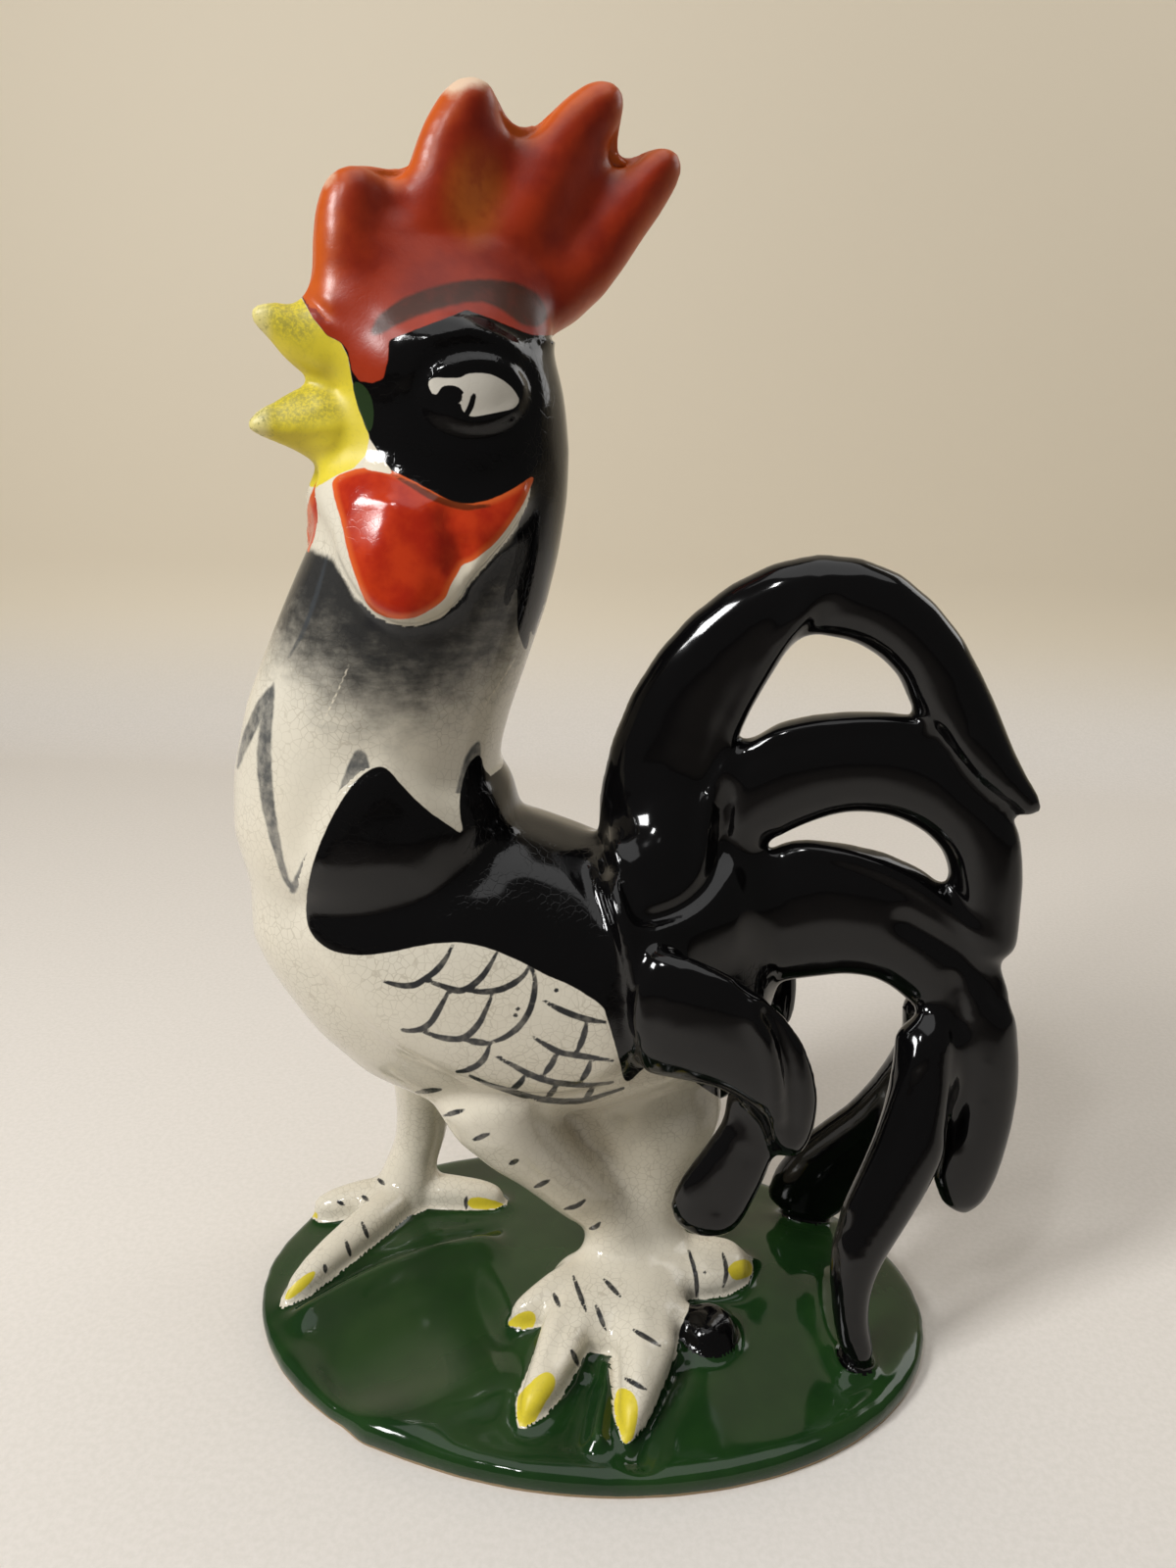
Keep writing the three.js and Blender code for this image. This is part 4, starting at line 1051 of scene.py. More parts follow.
def paint_wing(skin):
    """The black shoulder and back, and the wing's feathers in ink."""
    wing = WING_NODES + ("torso_shell", "neck_shell")
    skin.patch("black", BODY_NODES, np.vstack([
        picked("neck", (430, 683), (460, 690), (500, 740), (560, 800), (620, 840), (664, 872), (648, 800),
               (655, 740), (668, 690), (690, 660), (708, 652), (715, 690), (728, 705), (745, 722),
               (765, 725)),
        picked("photo", (545, 800), (600, 820), (760, 840), (860, 900), (860, 1165), (783, 1154),
               (764, 1138), (739, 1124), (703, 1100), (672, 1082), (656, 1090)),
        picked("wing", (1262, 930), (1240, 830), (1215, 740), (1190, 660), (1180, 625), (1130, 590),
               (1060, 545), (960, 505), (890, 465), (780, 415), (700, 390), (620, 378), (520, 385),
               (420, 405), (330, 425), (210, 430), (120, 405), (48, 330), (45, 200), (72, 70), (124, -60),
               (190, -180), (254, -258)),
    ]), facing=ALL_ROUND)
    for strokes in WING_STROKES:
        skin.line("ink", wing, INK_WIDTH, picked("wing", *strokes), ends=(0.5, 0.45))
    for spot in WING_DOTS:
        skin.line("ink", wing, DOT_WIDTH, picked("wing", spot, (spot[0] + DOT_LENGTH, spot[1])))


def paint_legs(skin):
    """The strokes down the leg and over the toes, and the yellow claws."""
    shin = ("leg_left", "torso_shell", "rump_pillar")
    for strokes in LEG_STROKES:
        skin.line("ink", shin, FINE_INK_WIDTH, picked("wing", *strokes), ends=(0.5, 0.4), facing=0.0)
    for strokes in FOOT_STROKES:
        skin.line("ink", FOOT_NODES, FINE_INK_WIDTH, picked("feet", *strokes), ends=(0.6, 0.4),
                  facing=PAST_THE_EDGE)
    for outline in CLAWS:
        skin.patch("yellow", FOOT_NODES, picked("feet", *outline), facing=ALL_ROUND)
    far_foot = skin.on(("foot_right",)) & (skin.facing < 0)
    layer = skin.layer("yellow")
    for tip in FAR_TOE_TIPS:
        gap = np.linalg.norm(skin.places[:, :2] / MM - tip, axis=1)
        layer[far_foot] = np.maximum(layer[far_foot], CLAW_REACH - gap[far_foot])


def paint_by_shape(skin):
    """What follows the shape: folds, the bare ring at the table, the beak's tips, the comb's glow."""
    even = np.ones(len(skin.places))
    mean = smoothed(skin.mesh, skin.places, even, FOLD_ROUNDS)
    fold = ((mean - skin.places) * skin.normals).sum(1) / MM
    skin.layers["fold"] = smoothed_scalar(skin.mesh, fold, FOLD_EVENING_ROUNDS)
    height = skin.places[:, 2] / MM
    skin.layers["foot_ring"] = np.where(skin.on(("base",)), FOOT_RING - height, -BLANK)
    beak = skin.on(BEAK_NODES)
    along = skin.spots[:, 0]
    skin.layers["beak_tip"] = np.where(beak, 1 - smooth_step(along, BEAK_TIP[0], BEAK_TIP[1]), 0)
    glow = np.linalg.norm((skin.spots - COMB_GLOW) / COMB_GLOW_REACH, axis=1)
    skin.layers["comb_glow"] = np.where(skin.on(("comb",)), 1 - smooth_step(glow, COMB_GLOW_CORE, 1), 0)


# Sharing the skin out among the pieces

def face_corners(mesh):
    """Each face's vertices, up to four, the last one repeated on a triangle."""
    starts = np.zeros(len(mesh.polygons), dtype=np.int64)
    totals = np.zeros(len(mesh.polygons), dtype=np.int64)
    corners = np.zeros(len(mesh.loops), dtype=np.int64)
    mesh.polygons.foreach_get("loop_start", starts)
    mesh.polygons.foreach_get("loop_total", totals)
    mesh.loops.foreach_get("vertex_index", corners)
    return corners[starts[:, None] + np.minimum(np.arange(4)[None, :], totals[:, None] - 1)]


def face_neighbours(mesh):
    """Pairs of faces that share an edge."""
    totals = np.zeros(len(mesh.polygons), dtype=np.int64)
    edges = np.zeros(len(mesh.loops), dtype=np.int64)
    mesh.polygons.foreach_get("loop_total", totals)
    mesh.loops.foreach_get("edge_index", edges)
    faces = np.repeat(np.arange(len(totals)), totals)
    order = np.argsort(edges, kind="stable")
    edges, faces = edges[order], faces[order]
    same = np.flatnonzero(edges[1:] == edges[:-1])
    return np.stack([faces[same], faces[same + 1]], axis=1)


def rounded_owner(mesh, owner, count):
    """Each vertex goes to the node that has the most of its neighbourhood, which rounds the borders off."""
    even = np.ones(len(owner))
    best = np.zeros(len(owner))
    winner = owner.copy()
    for first in range(0, count, 3):
        chance = np.stack([owner == first + step for step in range(3)], axis=1)
        shares = smoothed(mesh, chance, even, BORDER_ROUNDS)
        for step in range(3):
            better = shares[:, step] > best
            winner[better] = first + step
            best[better] = shares[better, step]
    return winner


def islands(pairs, labels):
    """The number of the island that each face is in, an island being joined faces of one label."""
    joined = pairs[labels[pairs[:, 0]] == labels[pairs[:, 1]]]
    island = np.arange(len(labels))
    while True:
        lowest = np.minimum(island[joined[:, 0]], island[joined[:, 1]])
        before = island.copy()
        np.minimum.at(island, joined[:, 0], lowest)
        np.minimum.at(island, joined[:, 1], lowest)
        island = island[island]
        if np.array_equal(island, before):
            return island


def face_owners(mesh, owner):
    """Each face's node. A node keeps its largest island of faces, and its neighbours take the others."""
    votes = owner[face_corners(mesh)]
    support = (votes[:, :, None] == votes[:, None, :]).sum(2)
    labels = votes[np.arange(len(votes)), support.argmax(1)]
    pairs = face_neighbours(mesh)
    island = islands(pairs, labels)
    sizes = np.bincount(island, minlength=len(labels))
    keep = np.zeros(len(labels), dtype=bool)
    for number in np.unique(labels):
        mine = island[labels == number]
        keep |= island == mine[sizes[mine].argmax()]
    loose = ~keep
    while loose.any():
        edge = pairs[loose[pairs[:, 0]] != loose[pairs[:, 1]]]
        inside = np.where(loose[edge[:, 0]], edge[:, 0], edge[:, 1])
        outside = np.where(loose[edge[:, 0]], edge[:, 1], edge[:, 0])
        labels[inside] = labels[outside]
        loose[inside] = False
    return labels


def separate_pieces(skin, labels, names):
    """One object for each node, with its share of the skin."""
    attribute = skin.attributes.new("owner", "INT", "FACE")
    attribute.data.foreach_set("value", labels.astype(np.int32))
    whole = new_object("skin", skin)
    pieces = {}
    for number, name in enumerate(names):
        whole.modifiers.clear()
        add_recipe(whole, PICK, number)
        pieces[name] = new_object(name + "_glazed", evaluated(whole))
    bpy.data.objects.remove(whole)
    return pieces


def cut_at_table(mesh):
    """Cuts the lengthened base off at the table, closed by one flat face."""
    work = bmesh.new()
    work.from_mesh(mesh)
    everything = work.verts[:] + work.edges[:] + work.faces[:]
    bmesh.ops.bisect_plane(work, geom=everything, dist=CUT_DISTANCE, plane_co=(0, 0, 0), plane_no=(0, 0, 1),
                           clear_inner=True)
    rim = [edge for edge in work.edges
           if edge.is_boundary and all(abs(vert.co.z) < TABLE_BAND for vert in edge.verts)]
    bmesh.ops.contextual_create(work, geom=rim)
    work.to_mesh(mesh)
    work.free()


def skin_normals(mesh):
    """The skin's own normals, kept with its vertices so that every piece still shades as one skin."""
    attribute = mesh.attributes.new("skin_normal", "FLOAT_VECTOR", "POINT")
    attribute.data.foreach_set("vector", vertex_normals(mesh).astype(np.float32).ravel())


def finish_shell(obj, wall):
    """Gives the piece its wall and the skin's normals."""
    outer_faces = len(obj.data.polygons)
    solidify = obj.modifiers.new("wall", "SOLIDIFY")
    solidify.thickness = wall
    solidify.offset = -1
    solidify.use_even_offset = False
    mesh = evaluated(obj)
    obj.modifiers.clear()
    obj.data = mesh
    mesh.shade_smooth()
    kept = np.zeros(len(mesh.vertices) * 3)
    mesh.attributes["skin_normal"].data.foreach_get("vector", kept)
    kept = kept.reshape(-1, 3)
    corners = np.zeros(len(mesh.loops), dtype=np.int64)
    mesh.loops.foreach_get("vertex_index", corners)
    totals = np.zeros(len(mesh.polygons), dtype=np.int64)
    mesh.polygons.foreach_get("loop_total", totals)
    faces = np.repeat(np.arange(len(totals)), totals)
    own = np.zeros(len(totals) * 3)
    mesh.polygons.foreach_get("normal", own)
    own = own.reshape(-1, 3)[faces]
    kept = kept[corners]
    turned_away = (kept * own).sum(1) < SHARP_TURN
    normals = np.where(turned_away[:, None], own, kept)
    normals[faces >= outer_faces] = 0.0
    mesh.normals_split_custom_set(normals.tolist())


# Materials

class Recipe:
    """A node tree with short ways to add and join nodes."""

    def __init__(self, tree):
        self.tree = tree

    def put(self, socket_in, value):
        """Joins another node's output to an input, or sets the input to a plain value."""
        if isinstance(value, bpy.types.NodeSocket):
            self.tree.links.new(value, socket_in)
        else:
            socket_in.default_value = value

    def node(self, kind, outcome, **settings):
        """Adds a node with those settings and inputs, and gives the output of that name."""
        node = self.tree.nodes.new(kind)
        inputs = settings.pop("inputs", {})
        for name, value in settings.items():
            setattr(node, name, value)
        for name, value in inputs.items():
            self.put(socket(node.inputs, name) if isinstance(name, str) else node.inputs[name], value)
        return socket(node.outputs, outcome)

    def math(self, operation, first, second):
        return self.node("ShaderNodeMath", "Value", operation=operation, inputs={0: first, 1: second})

    def times(self, first, second):
        return self.math("MULTIPLY", first, second)

    def mix(self, factor, first, second):
        """A blend of two colours."""
        return self.node("ShaderNodeMix", "Result", data_type="RGBA",
                         inputs={"Factor": factor, "A": first, "B": second})

    def blend(self, factor, first, second):
        """A blend of two numbers."""
        return self.node("ShaderNodeMix", "Result", data_type="FLOAT",
                         inputs={"Factor": factor, "A": first, "B": second})

    def layer(self, name):
        """What the skin stored under that name."""
        return self.node("ShaderNodeAttribute", "Fac", attribute_name=name)

    def edge(self, name, softness=0.2, shake=0.25):
        """The mask of a painted layer, with its brushed edge."""
        return self.node("ShaderNodeGroup", "Mask", node_tree=BRUSHED_EDGE, inputs={
            "Layer": self.layer(name), "Softness": softness, "Shake": shake})

    def place(self):
        return self.node("ShaderNodeTexCoord", "Object")

    def noise(self, size, detail=2.0, roughness=0.5, place=None):
        """Noise whose lumps are about that many millimetres across."""
        return self.node("ShaderNodeTexNoise", "Fac", inputs={
            "Vector": place or self.place(), "Scale": 1 / (size * MM), "Detail": detail,
            "Roughness": roughness})

    def ramp(self, value, low, high, start=0.0, end=1.0):
        """Start where the value is low, end where it is high, and a soft change between."""
        return self.node("ShaderNodeMapRange", "Result", interpolation_type="SMOOTHSTEP", inputs={
            "Value": value, "From Min": low, "From Max": high, "To Min": start, "To Max": end})


def new_group(name, inputs, outputs):
    """A shader node group: its recipe, its named inputs and the node that takes its outputs."""
    tree = bpy.data.node_groups.new(name, "ShaderNodeTree")
    for label, kind, value in inputs:
        item = tree.interface.new_socket(label, in_out="INPUT", socket_type="NodeSocket" + kind)
        item.default_value = value
    for label, kind in outputs:
        tree.interface.new_socket(label, in_out="OUTPUT", socket_type="NodeSocket" + kind)
    start = tree.nodes.new("NodeGroupInput")
    end = tree.nodes.new("NodeGroupOutput")
    return Recipe(tree), start.outputs, end.inputs


def brushed_edge_group():
    """Turns a layer's millimetres into a mask with a soft and slightly shaky edge, as a brush leaves it."""
    recipe, given, result = new_group("brushed_edge", [
        ("Layer", "Float", 0.0), ("Softness", "Float", 0.2), ("Shake", "Float", 0.3)], [("Mask", "Float")])
    shake = recipe.times(recipe.math("SUBTRACT", recipe.noise(2.2, 3.0), 0.5), given["Shake"])
    edge = recipe.math("ADD", given["Layer"], shake)
    half = recipe.times(given["Softness"], 0.5)
    low = recipe.times(half, -1.0)
    recipe.put(result["Mask"], recipe.ramp(edge, low, half))
    return recipe.tree


def crazing_group():
    """The fine net of cracks in an old glaze."""
    recipe, given, result = new_group("crazing", [("Cell", "Float", 1.3)], [("Cracks", "Float")])
    bend = recipe.node("ShaderNodeTexNoise", "Color", inputs={
        "Vector": recipe.place(), "Scale": 1 / (CRACK_BEND_SIZE * MM), "Detail": 2.0})
    wave = recipe.node("ShaderNodeVectorMath", "Vector", operation="SCALE",
                       inputs={"Vector": bend, "Scale": CRACK_BEND * MM})
    bent = recipe.node("ShaderNodeVectorMath", "Vector", operation="ADD",
                       inputs={0: recipe.place(), 1: wave})
    scale = recipe.math("DIVIDE", 1 / MM, given["Cell"])
    gap = recipe.node("ShaderNodeTexVoronoi", "Distance", feature="DISTANCE_TO_EDGE",
                      inputs={"Vector": bent, "Scale": scale})
    crack = recipe.ramp(gap, *CRACK_WIDTH, 1.0, 0.0)
    patchy = recipe.ramp(recipe.noise(14.0, 2.0), 0.3, 0.62, 0.25, 1.0)
    recipe.put(result["Cracks"], recipe.times(crack, patchy))
    return recipe.tree


def jet_group():
    """Black glaze, browner where it runs thin over an edge."""
    recipe, _, result = new_group("jet_glaze", [], [("Color", "Color")])
    thin = recipe.ramp(recipe.layer("fold"), -0.5, -1.6, 0.0, 0.5)
    recipe.put(result["Color"], recipe.mix(thin, JET, JET_THIN))
    return recipe.tree


def grass_group():
    """Green glaze, pooled dark in the hollows and thin on the edges, with the bare clay ring under it."""
    recipe, _, result = new_group("grass_glaze", [], [("Color", "Color"), ("Bare", "Float")])
    fold = recipe.layer("fold")
    green = recipe.mix(recipe.ramp(recipe.noise(16.0, 3.0), 0.3, 0.7), GRASS, GRASS_DEEP)
    green = recipe.mix(recipe.ramp(fold, 0.1, 0.9), green, GRASS_POOLED)
    green = recipe.mix(recipe.ramp(fold, -0.25, -1.2), green, GRASS_THIN)
    bare = recipe.edge("foot_ring", 0.25, 0.5)
    recipe.put(result["Color"], recipe.mix(bare, green, BARE_CLAY))
    recipe.put(result["Bare"], bare)
    return recipe.tree


def ivory_body(recipe, fold, cracks):
    """Ivory glaze, greyer in the hollows, with its stained cracks."""
    colour = recipe.mix(recipe.noise(30.0, 2.0), IVORY_WARM, IVORY_COOL)
    colour = recipe.mix(recipe.ramp(fold, 0.25, 1.4, 0.0, 0.45), colour, IVORY_SHADE)
    return recipe.mix(recipe.times(cracks, CRACK_STRENGTH), colour, CRACK_STAIN)


def neck_wash(recipe, colour, cloudy):
    """Grey wash, brushed round the neck in clouds."""
    around = recipe.node("ShaderNodeMapping", "Vector", inputs={
        "Vector": recipe.place(), "Scale": WASH_STRETCH})
    streaks = recipe.noise(1.8, 3.0, 0.65, around)
    wash = recipe.layer("wash")
    worn = recipe.math("ADD", recipe.times(streaks, 0.6), recipe.times(cloudy, 0.7))
    thick = recipe.math("ADD", wash, recipe.times(recipe.math("SUBTRACT", worn, 0.65), 0.75))
    washed = recipe.times(recipe.ramp(thick, 0.0, 1.15), recipe.ramp(wash, 0.0, 0.15))
    return recipe.mix(recipe.times(washed, WASH_COVER), colour, WASH_BLACK)


def brush_strokes(recipe, colour):
    """Grey and black strokes, thin enough in places for the body to show."""
    dry_brush = recipe.ramp(recipe.noise(3.2, 3.0, 0.6), 0.25, 0.7, 0.55, 0.92)
    colour = recipe.mix(recipe.times(recipe.edge("grey_stroke", 0.6, 0.5), dry_brush), colour, STROKE_GREY)
    colour = recipe.mix(recipe.times(recipe.edge("wash_stroke", 2.4, 1.2), dry_brush), colour, WASH_BLACK)
    loaded_brush = recipe.ramp(recipe.noise(2.5, 2.0), 0.2, 0.55, 0.78, 0.97)
    return recipe.mix(recipe.times(recipe.edge("ink", 0.3, 0.3), loaded_brush), colour, INK_BLACK)


def yellow_enamel(recipe):
    """Lemon yellow of beak and claws, paler and speckled at the beak's tips, olive with dirt on the upper
    beak and with painted shade in the mouth.
    """
    colour = recipe.mix(recipe.noise(6.0, 3.0), LEMON, LEMON_DEEP)
    tips = recipe.layer("beak_tip")
    colour = recipe.mix(recipe.times(recipe.ramp(tips, 0.3, 0.75), 0.55), colour, BEAK_WHITE)
    speckle = recipe.ramp(recipe.noise(0.9, 2.0, 0.7), 0.50, 0.70)
    speckle = recipe.times(speckle, recipe.ramp(tips, 0.15, 0.9, 0.12, 0.85))
    colour = recipe.mix(speckle, colour, BEAK_OLIVE)
    grains = recipe.ramp(recipe.noise(0.7, 3.0, 0.7), 0.36, 0.62)
    # olive grains: dirt on the upper beak, painted shade in the mouth
    dirt_and_shade = recipe.times(recipe.edge("beak_dirt_and_shade", 4.0, 2.5), grains)
    return recipe.mix(recipe.times(dirt_and_shade, DIRT_AND_SHADE_COVER), colour, BEAK_OLIVE)


def comb_enamel(recipe, fold, cloudy):
    """Red of the comb, darkened in its valleys by painted shade, orange along its rim and worn pale at its
    tips.
    """
    colour = recipe.mix(recipe.ramp(recipe.noise(11.0, 3.0, 0.6), 0.35, 0.7), COMB_RED, COMB_DEEP)
    # painted shade in the valleys between the lobes
    colour = recipe.mix(recipe.ramp(fold, 0.15, 1.2), colour, COMB_VALLEY_SHADE)
    rim = recipe.math("ADD", recipe.layer("comb_rim"), recipe.times(cloudy, 4.0))
    colour = recipe.mix(recipe.ramp(rim, 1.5, 8.0, 0.9, 0.0), colour, COMB_ORANGE)
    glow = recipe.times(recipe.layer("comb_glow"), recipe.ramp(cloudy, 0.25, 0.6, 0.3, 0.8))
    colour = recipe.mix(glow, colour, COMB_AMBER)
    return recipe.mix(recipe.times(recipe.edge("comb_tip", 2.5, 2.0), WORN_COVER), colour, WORN_PALE)


def wattle_enamel(recipe, fold):
    """Red-orange of the wattles, lighter at their edges, with painted shade deep in their folds."""
    colour = recipe.mix(recipe.ramp(recipe.noise(7.0, 3.0, 0.6), 0.35, 0.7), WATTLE_RED, WATTLE_DEEP)
    colour = recipe.mix(recipe.ramp(recipe.layer("wattle"), 1.6, 0.2, 0.0, 0.7), colour, WATTLE_ORANGE)
    # painted shade in the wattles' folds
    return recipe.mix(recipe.ramp(fold, 0.2, 1.0, 0.0, 0.8), colour, WATTLE_DEEP)


def glaze_roughness(recipe, comb, wattle):
    """Glossy glaze, with the duller enamels that were fired on later."""
    cloudy = recipe.noise(SHEEN_CLOUD, 3.0)
    roughness = recipe.blend(cloudy, *GLAZE_ROUGHNESS)
    roughness = recipe.blend(recipe.edge("yellow", 0.25, 0.5), roughness,
                             recipe.blend(cloudy, *YELLOW_ROUGHNESS))
    roughness = recipe.blend(comb, roughness, recipe.blend(cloudy, *COMB_ROUGHNESS))
    return recipe.blend(wattle, roughness, recipe.blend(cloudy, *WATTLE_ROUGHNESS))


def glaze_height(recipe, comb, cracks):
    """Uneven glaze with fine pits and thread-fine cracks, in millimetres."""
    uneven = recipe.times(recipe.noise(UNEVEN_SIZE, 1.0), UNEVEN_HEIGHT)
    pits = recipe.times(recipe.noise(PIT_SIZE, 2.0), recipe.blend(comb, GLAZE_PITS, COMB_PITS))
    height = recipe.math("ADD", uneven, pits)
    return recipe.math("SUBTRACT", height, recipe.times(cracks, CRACK_DEPTH))


def painted_glaze_group(crazing_tree, jet_tree, grass_tree):
    """Every colour that is painted under or on the glaze, laid one over another."""
    recipe, given, result = new_group("painted_glaze", [("Crazing", "Float", 1.0)], [
        ("Color", "Color"), ("Roughness", "Float"), ("Height", "Float")])
    fold = recipe.layer("fold")
    cloudy = recipe.noise(6.0, 3.0, 0.6)
    comb = recipe.edge("comb", 0.3, 0.3)
    wattle = recipe.edge("wattle", 0.3, 0.3)
    grass = recipe.node("ShaderNodeGroup", "Color", node_tree=grass_tree)
    jet = recipe.node("ShaderNodeGroup", "Color", node_tree=jet_tree)
    cracks = recipe.node("ShaderNodeGroup", "Cracks", node_tree=crazing_tree, inputs={"Cell": CRAZING_CELL})
    cracks = recipe.times(cracks, given["Crazing"])
    brow_brush = recipe.ramp(recipe.noise(2.5, 2.0), 0.25, 0.6, 0.85, 0.98)
    colour = ivory_body(recipe, fold, cracks)
    colour = neck_wash(recipe, colour, cloudy)
    colour = brush_strokes(recipe, colour)
    for mask, paint in (
            (recipe.edge("yellow", 0.25, 0.5), yellow_enamel(recipe)),
            (recipe.edge("green", 0.25, 0.5), grass),
            (recipe.edge("black", 0.25, 0.25), jet),
            (recipe.edge("olive"), OLIVE),
            (comb, comb_enamel(recipe, fold, cloudy)),
            (recipe.times(recipe.edge("brow", 1.0, 0.6), brow_brush), BROW_BROWN),
            (wattle, wattle_enamel(recipe, fold)),
            (recipe.times(recipe.edge("brown_line", 0.5, 0.5), BROWN_LINE_COVER), BROW_BROWN),
            (recipe.edge("bare", 0.3, 0.4), IVORY_WARM),
            (recipe.edge("eye_white", 0.2, 0.2), EYE_IVORY),
            (recipe.edge("pupil", 0.25, 0.25), JET)):
        colour = recipe.mix(mask, colour, paint)
    recipe.put(result["Color"], colour)
    recipe.put(result["Roughness"], glaze_roughness(recipe, comb, wattle))
    recipe.put(result["Height"], glaze_height(recipe, comb, cracks))
    return recipe.tree


def start_glaze(name, tree):
    """A glossy material: itself, its recipe, its shader and the node of the group that colours it."""
    material = bpy.data.materials.new(name)
    material.use_nodes = True
    recipe = Recipe(material.node_tree)
    shader = material.node_tree.nodes["Principled BSDF"]
    shader.inputs["IOR"].default_value = GLAZE_IOR
    paint = material.node_tree.nodes.new("ShaderNodeGroup")
    paint.node_tree = tree
    recipe.put(shader.inputs["Base Color"], paint.outputs["Color"])
    return material, recipe, shader, paint


def finish_glaze(recipe, shader, roughness, height):
    """Gives the material its roughness, and its relief from a height in millimetres."""
    recipe.put(shader.inputs["Roughness"], roughness)
    recipe.put(shader.inputs["Normal"], recipe.node("ShaderNodeBump", "Normal", inputs={
        "Height": height, "Distance": MM, "Strength": 1.0}))


def plain_glaze_material(name, colour_tree):
    """One colour of glaze all over, uneven as it ran, and rough where a mask leaves the clay bare."""
    material, recipe, shader, paint = start_glaze(name, colour_tree)
    roughness = recipe.blend(recipe.noise(SHEEN_CLOUD, 2.0), *GLAZE_ROUGHNESS)
    if "Bare" in paint.outputs:
        roughness = recipe.blend(paint.outputs["Bare"], roughness, CLAY_ROUGHNESS)
    uneven = recipe.times(recipe.noise(UNEVEN_SIZE, 1.0), UNEVEN_HEIGHT)
    finish_glaze(recipe, shader, roughness, uneven)
    return material


def painted_glaze_material(slot, glaze_tree, crazing):
    """The painted glaze, with a slot's own share of crazing."""
    material, recipe, shader, paint = start_glaze(slot, glaze_tree)
    paint.inputs["Crazing"].default_value = crazing
    finish_glaze(recipe, shader, paint.outputs["Roughness"], paint.outputs["Height"])
    return material


def add_materials():
    """The painted glaze for each slot, the plain black of the tail and the plain green of the base."""
    jet_tree = jet_group()
    grass_tree = grass_group()
    glaze_tree = painted_glaze_group(crazing_group(), jet_tree, grass_tree)
    painted = {slot: painted_glaze_material(slot, glaze_tree, crazing) for slot, crazing in CRAZING.items()}
    tail_glaze = plain_glaze_material("tail_glaze", jet_tree)
    ground_glaze = plain_glaze_material("ground_glaze", grass_tree)
    return painted, tail_glaze, ground_glaze


# Room

def floor_sheet():
    """The floor, with its far edge drawn up into a wall by a round cove."""
    work = bmesh.new()
    bmesh.ops.create_grid(work, x_segments=1, y_segments=1, size=FLOOR_HALF)
    far = [edge for edge in work.edges if all(vert.co.y > FLOOR_HALF / 2 for vert in edge.verts)]
    for vert in far[0].verts:
        vert.co.y = WALL_FOOT
    bmesh.ops.spin(work, geom=far, cent=(0, WALL_FOOT, COVE_RADIUS), axis=(1, 0, 0), angle=math.pi / 2,
                   steps=COVE_STEPS, use_merge=False)
    cove_top = COVE_RADIUS - TABLE_BAND
    top = [edge for edge in work.edges if all(vert.co.z > cove_top for vert in edge.verts)]
    raised = bmesh.ops.extrude_edge_only(work, edges=top)["geom"]
    raised = [item for item in raised if isinstance(item, bmesh.types.BMVert)]
    bmesh.ops.translate(work, vec=(0, 0, FLOOR_HALF), verts=raised)
    mesh = bpy.data.meshes.new("floor")
    work.to_mesh(mesh)
    work.free()
    mesh.shade_smooth()
    return new_object("floor", mesh)


def floor_material():
    """A pale, faintly speckled table that turns into a beige wall, darker in front, out of view, as painted
    shade.
    """
    material = bpy.data.materials.new("floor")
    material.use_nodes = True
    recipe = Recipe(material.node_tree)
    shader = material.node_tree.nodes["Principled BSDF"]
    speckle = recipe.ramp(recipe.noise(FLOOR_SPECKLE, 3.0, 0.6), 0.3, 0.7)
    height = recipe.node("ShaderNodeSeparateXYZ", "Z", inputs={"Vector": recipe.place()})
    depth = recipe.node("ShaderNodeSeparateXYZ", "Y", inputs={"Vector": recipe.place()})
    colour = recipe.mix(speckle, FLOOR_PALE, FLOOR_SHADE)
    # painted shade on the floor in front, for the dim room
    colour = recipe.mix(recipe.ramp(depth, FLOOR_NEAR_START, FLOOR_NEAR_FULL), colour, FLOOR_NEAR)
    low, high = COVE_COLOURS
    wall = recipe.ramp(height, low * COVE_RADIUS, high * COVE_RADIUS)
    recipe.put(shader.inputs["Base Color"], recipe.mix(wall, colour, WALL_BEIGE))
    shader.inputs["Roughness"].default_value = FLOOR_ROUGHNESS
    return material


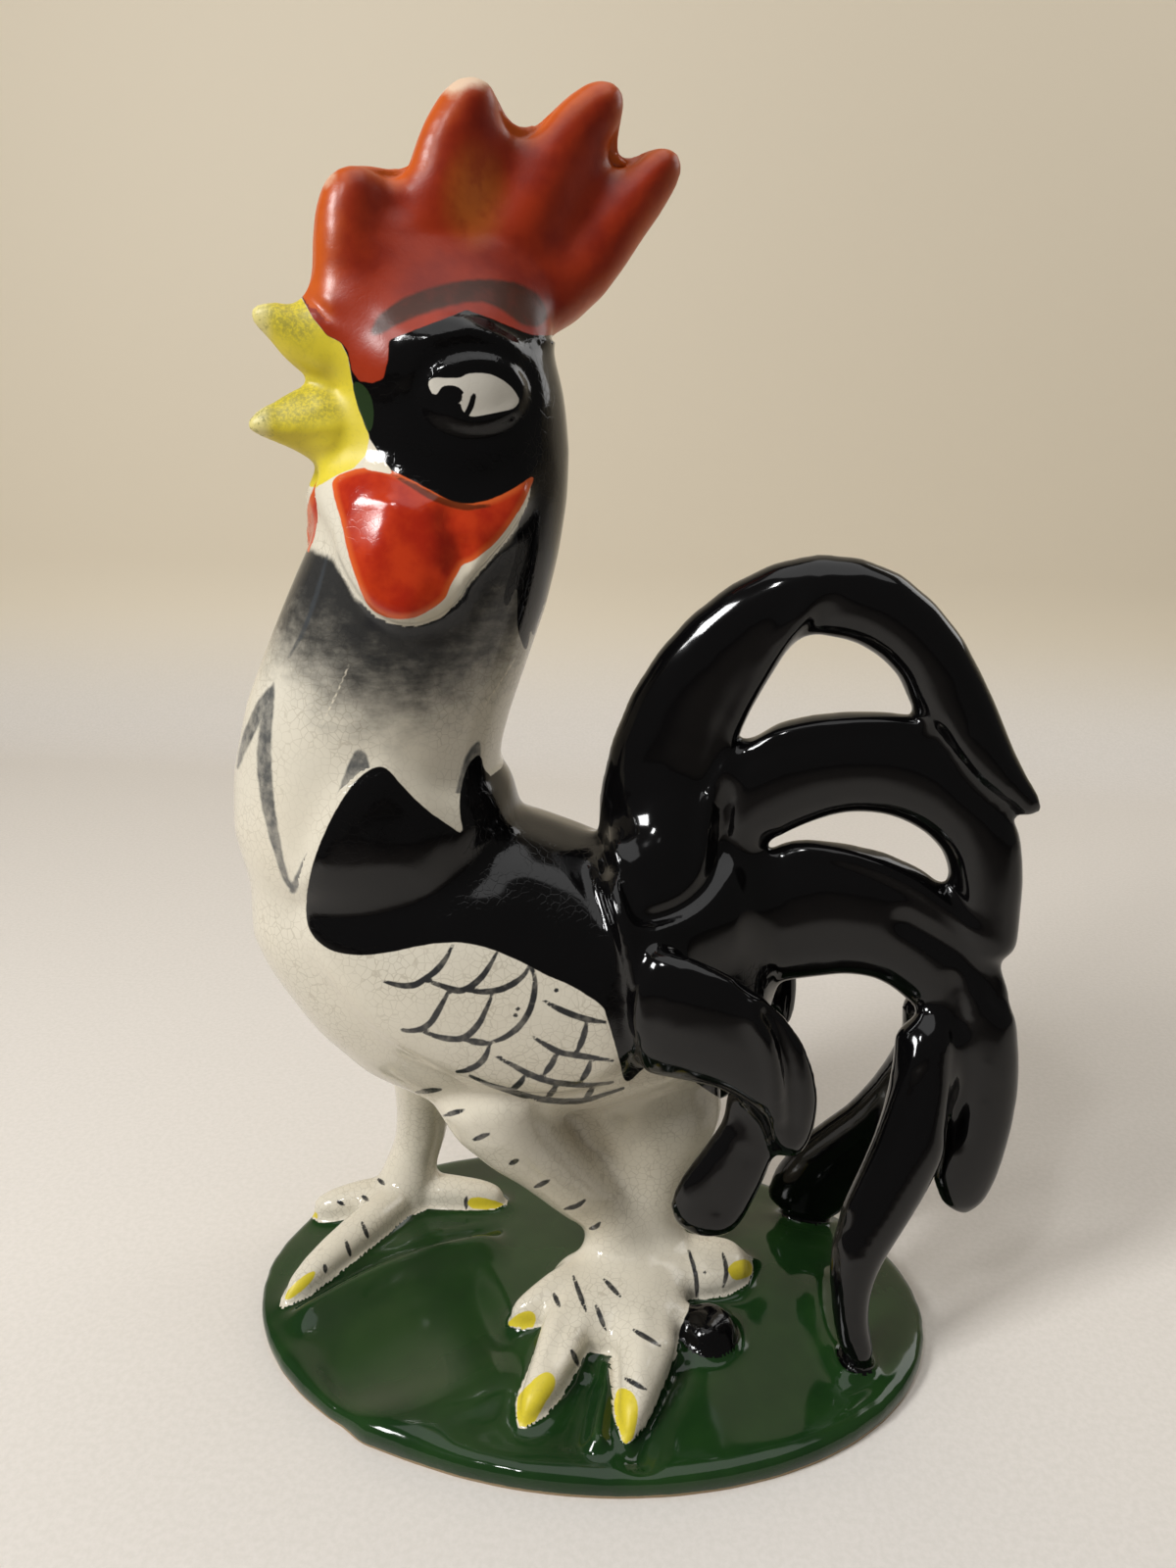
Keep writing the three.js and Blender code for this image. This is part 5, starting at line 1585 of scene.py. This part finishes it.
def add_lamp(name, place, size, power):
    """A lamp of that size and power, turned to the figurine."""
    light = bpy.data.lights.new(name, "AREA")
    light.shape = "RECTANGLE"
    light.size, light.size_y = size
    light.energy = power
    lamp = new_object(name, light)
    lamp.location = place
    aim = LAMP_AIM - Vector(place)
    lamp.rotation_euler = aim.to_track_quat("-Z", "Y").to_euler()


def add_room():
    """The table and wall, the faint light of the room and its lamps."""
    floor = floor_sheet()
    floor.data.materials.append(floor_material())
    world = bpy.data.worlds.new("room")
    world.use_nodes = True
    background = world.node_tree.nodes["Background"]
    background.inputs["Color"].default_value = ROOM_COLOUR
    background.inputs["Strength"].default_value = ROOM_LIGHT
    bpy.context.scene.world = world
    for lamp in LAMPS:
        add_lamp(*lamp)


# The figurine and its room

BLUR = blur_recipe()
PICK = pick_recipe()
BRUSHED_EDGE = brushed_edge_group()
add_camera()
skin = close_skin()
names, owner = smooth_skin(skin)
owner = rounded_owner(skin, owner, len(names))
figure = Skin(skin, names, owner)
melt_steps(figure)
round_comb(figure)
figure.start_pressing()
model_head(figure)
model_body(figure)
figure.finish_pressing()
figure.region("black", BLACK_NODES + BEAK_NODES + RED_NODES)
figure.region("green", GREEN_NODES)
paint_head(figure)
paint_face(figure)
paint_neck(figure)
paint_wing(figure)
paint_legs(figure)
paint_by_shape(figure)
figure.keep_layers()
skin_normals(skin)
labels = face_owners(skin, owner)
pieces = separate_pieces(skin, labels, names)
cut_at_table(pieces["base"].data)
slots = {row["node"]: row["material_slot"] for row in frame["record"]["subparts"]}
painted, tail_glaze, ground_glaze = add_materials()
for name in names:
    piece = pieces[name]
    finish_shell(piece, THIN_WALL if name in SLENDER_NODES else SHELL_WALL)
    piece.data.materials.clear()
    if name in TAIL_NODES:
        piece.data.materials.append(tail_glaze)
    elif name == "base":
        piece.data.materials.append(ground_glaze)
    else:
        piece.data.materials.append(painted[slots[name]])
    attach(piece, "root")
    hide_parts(name)
add_room()
bpy.context.scene.view_settings.view_transform = "Standard"
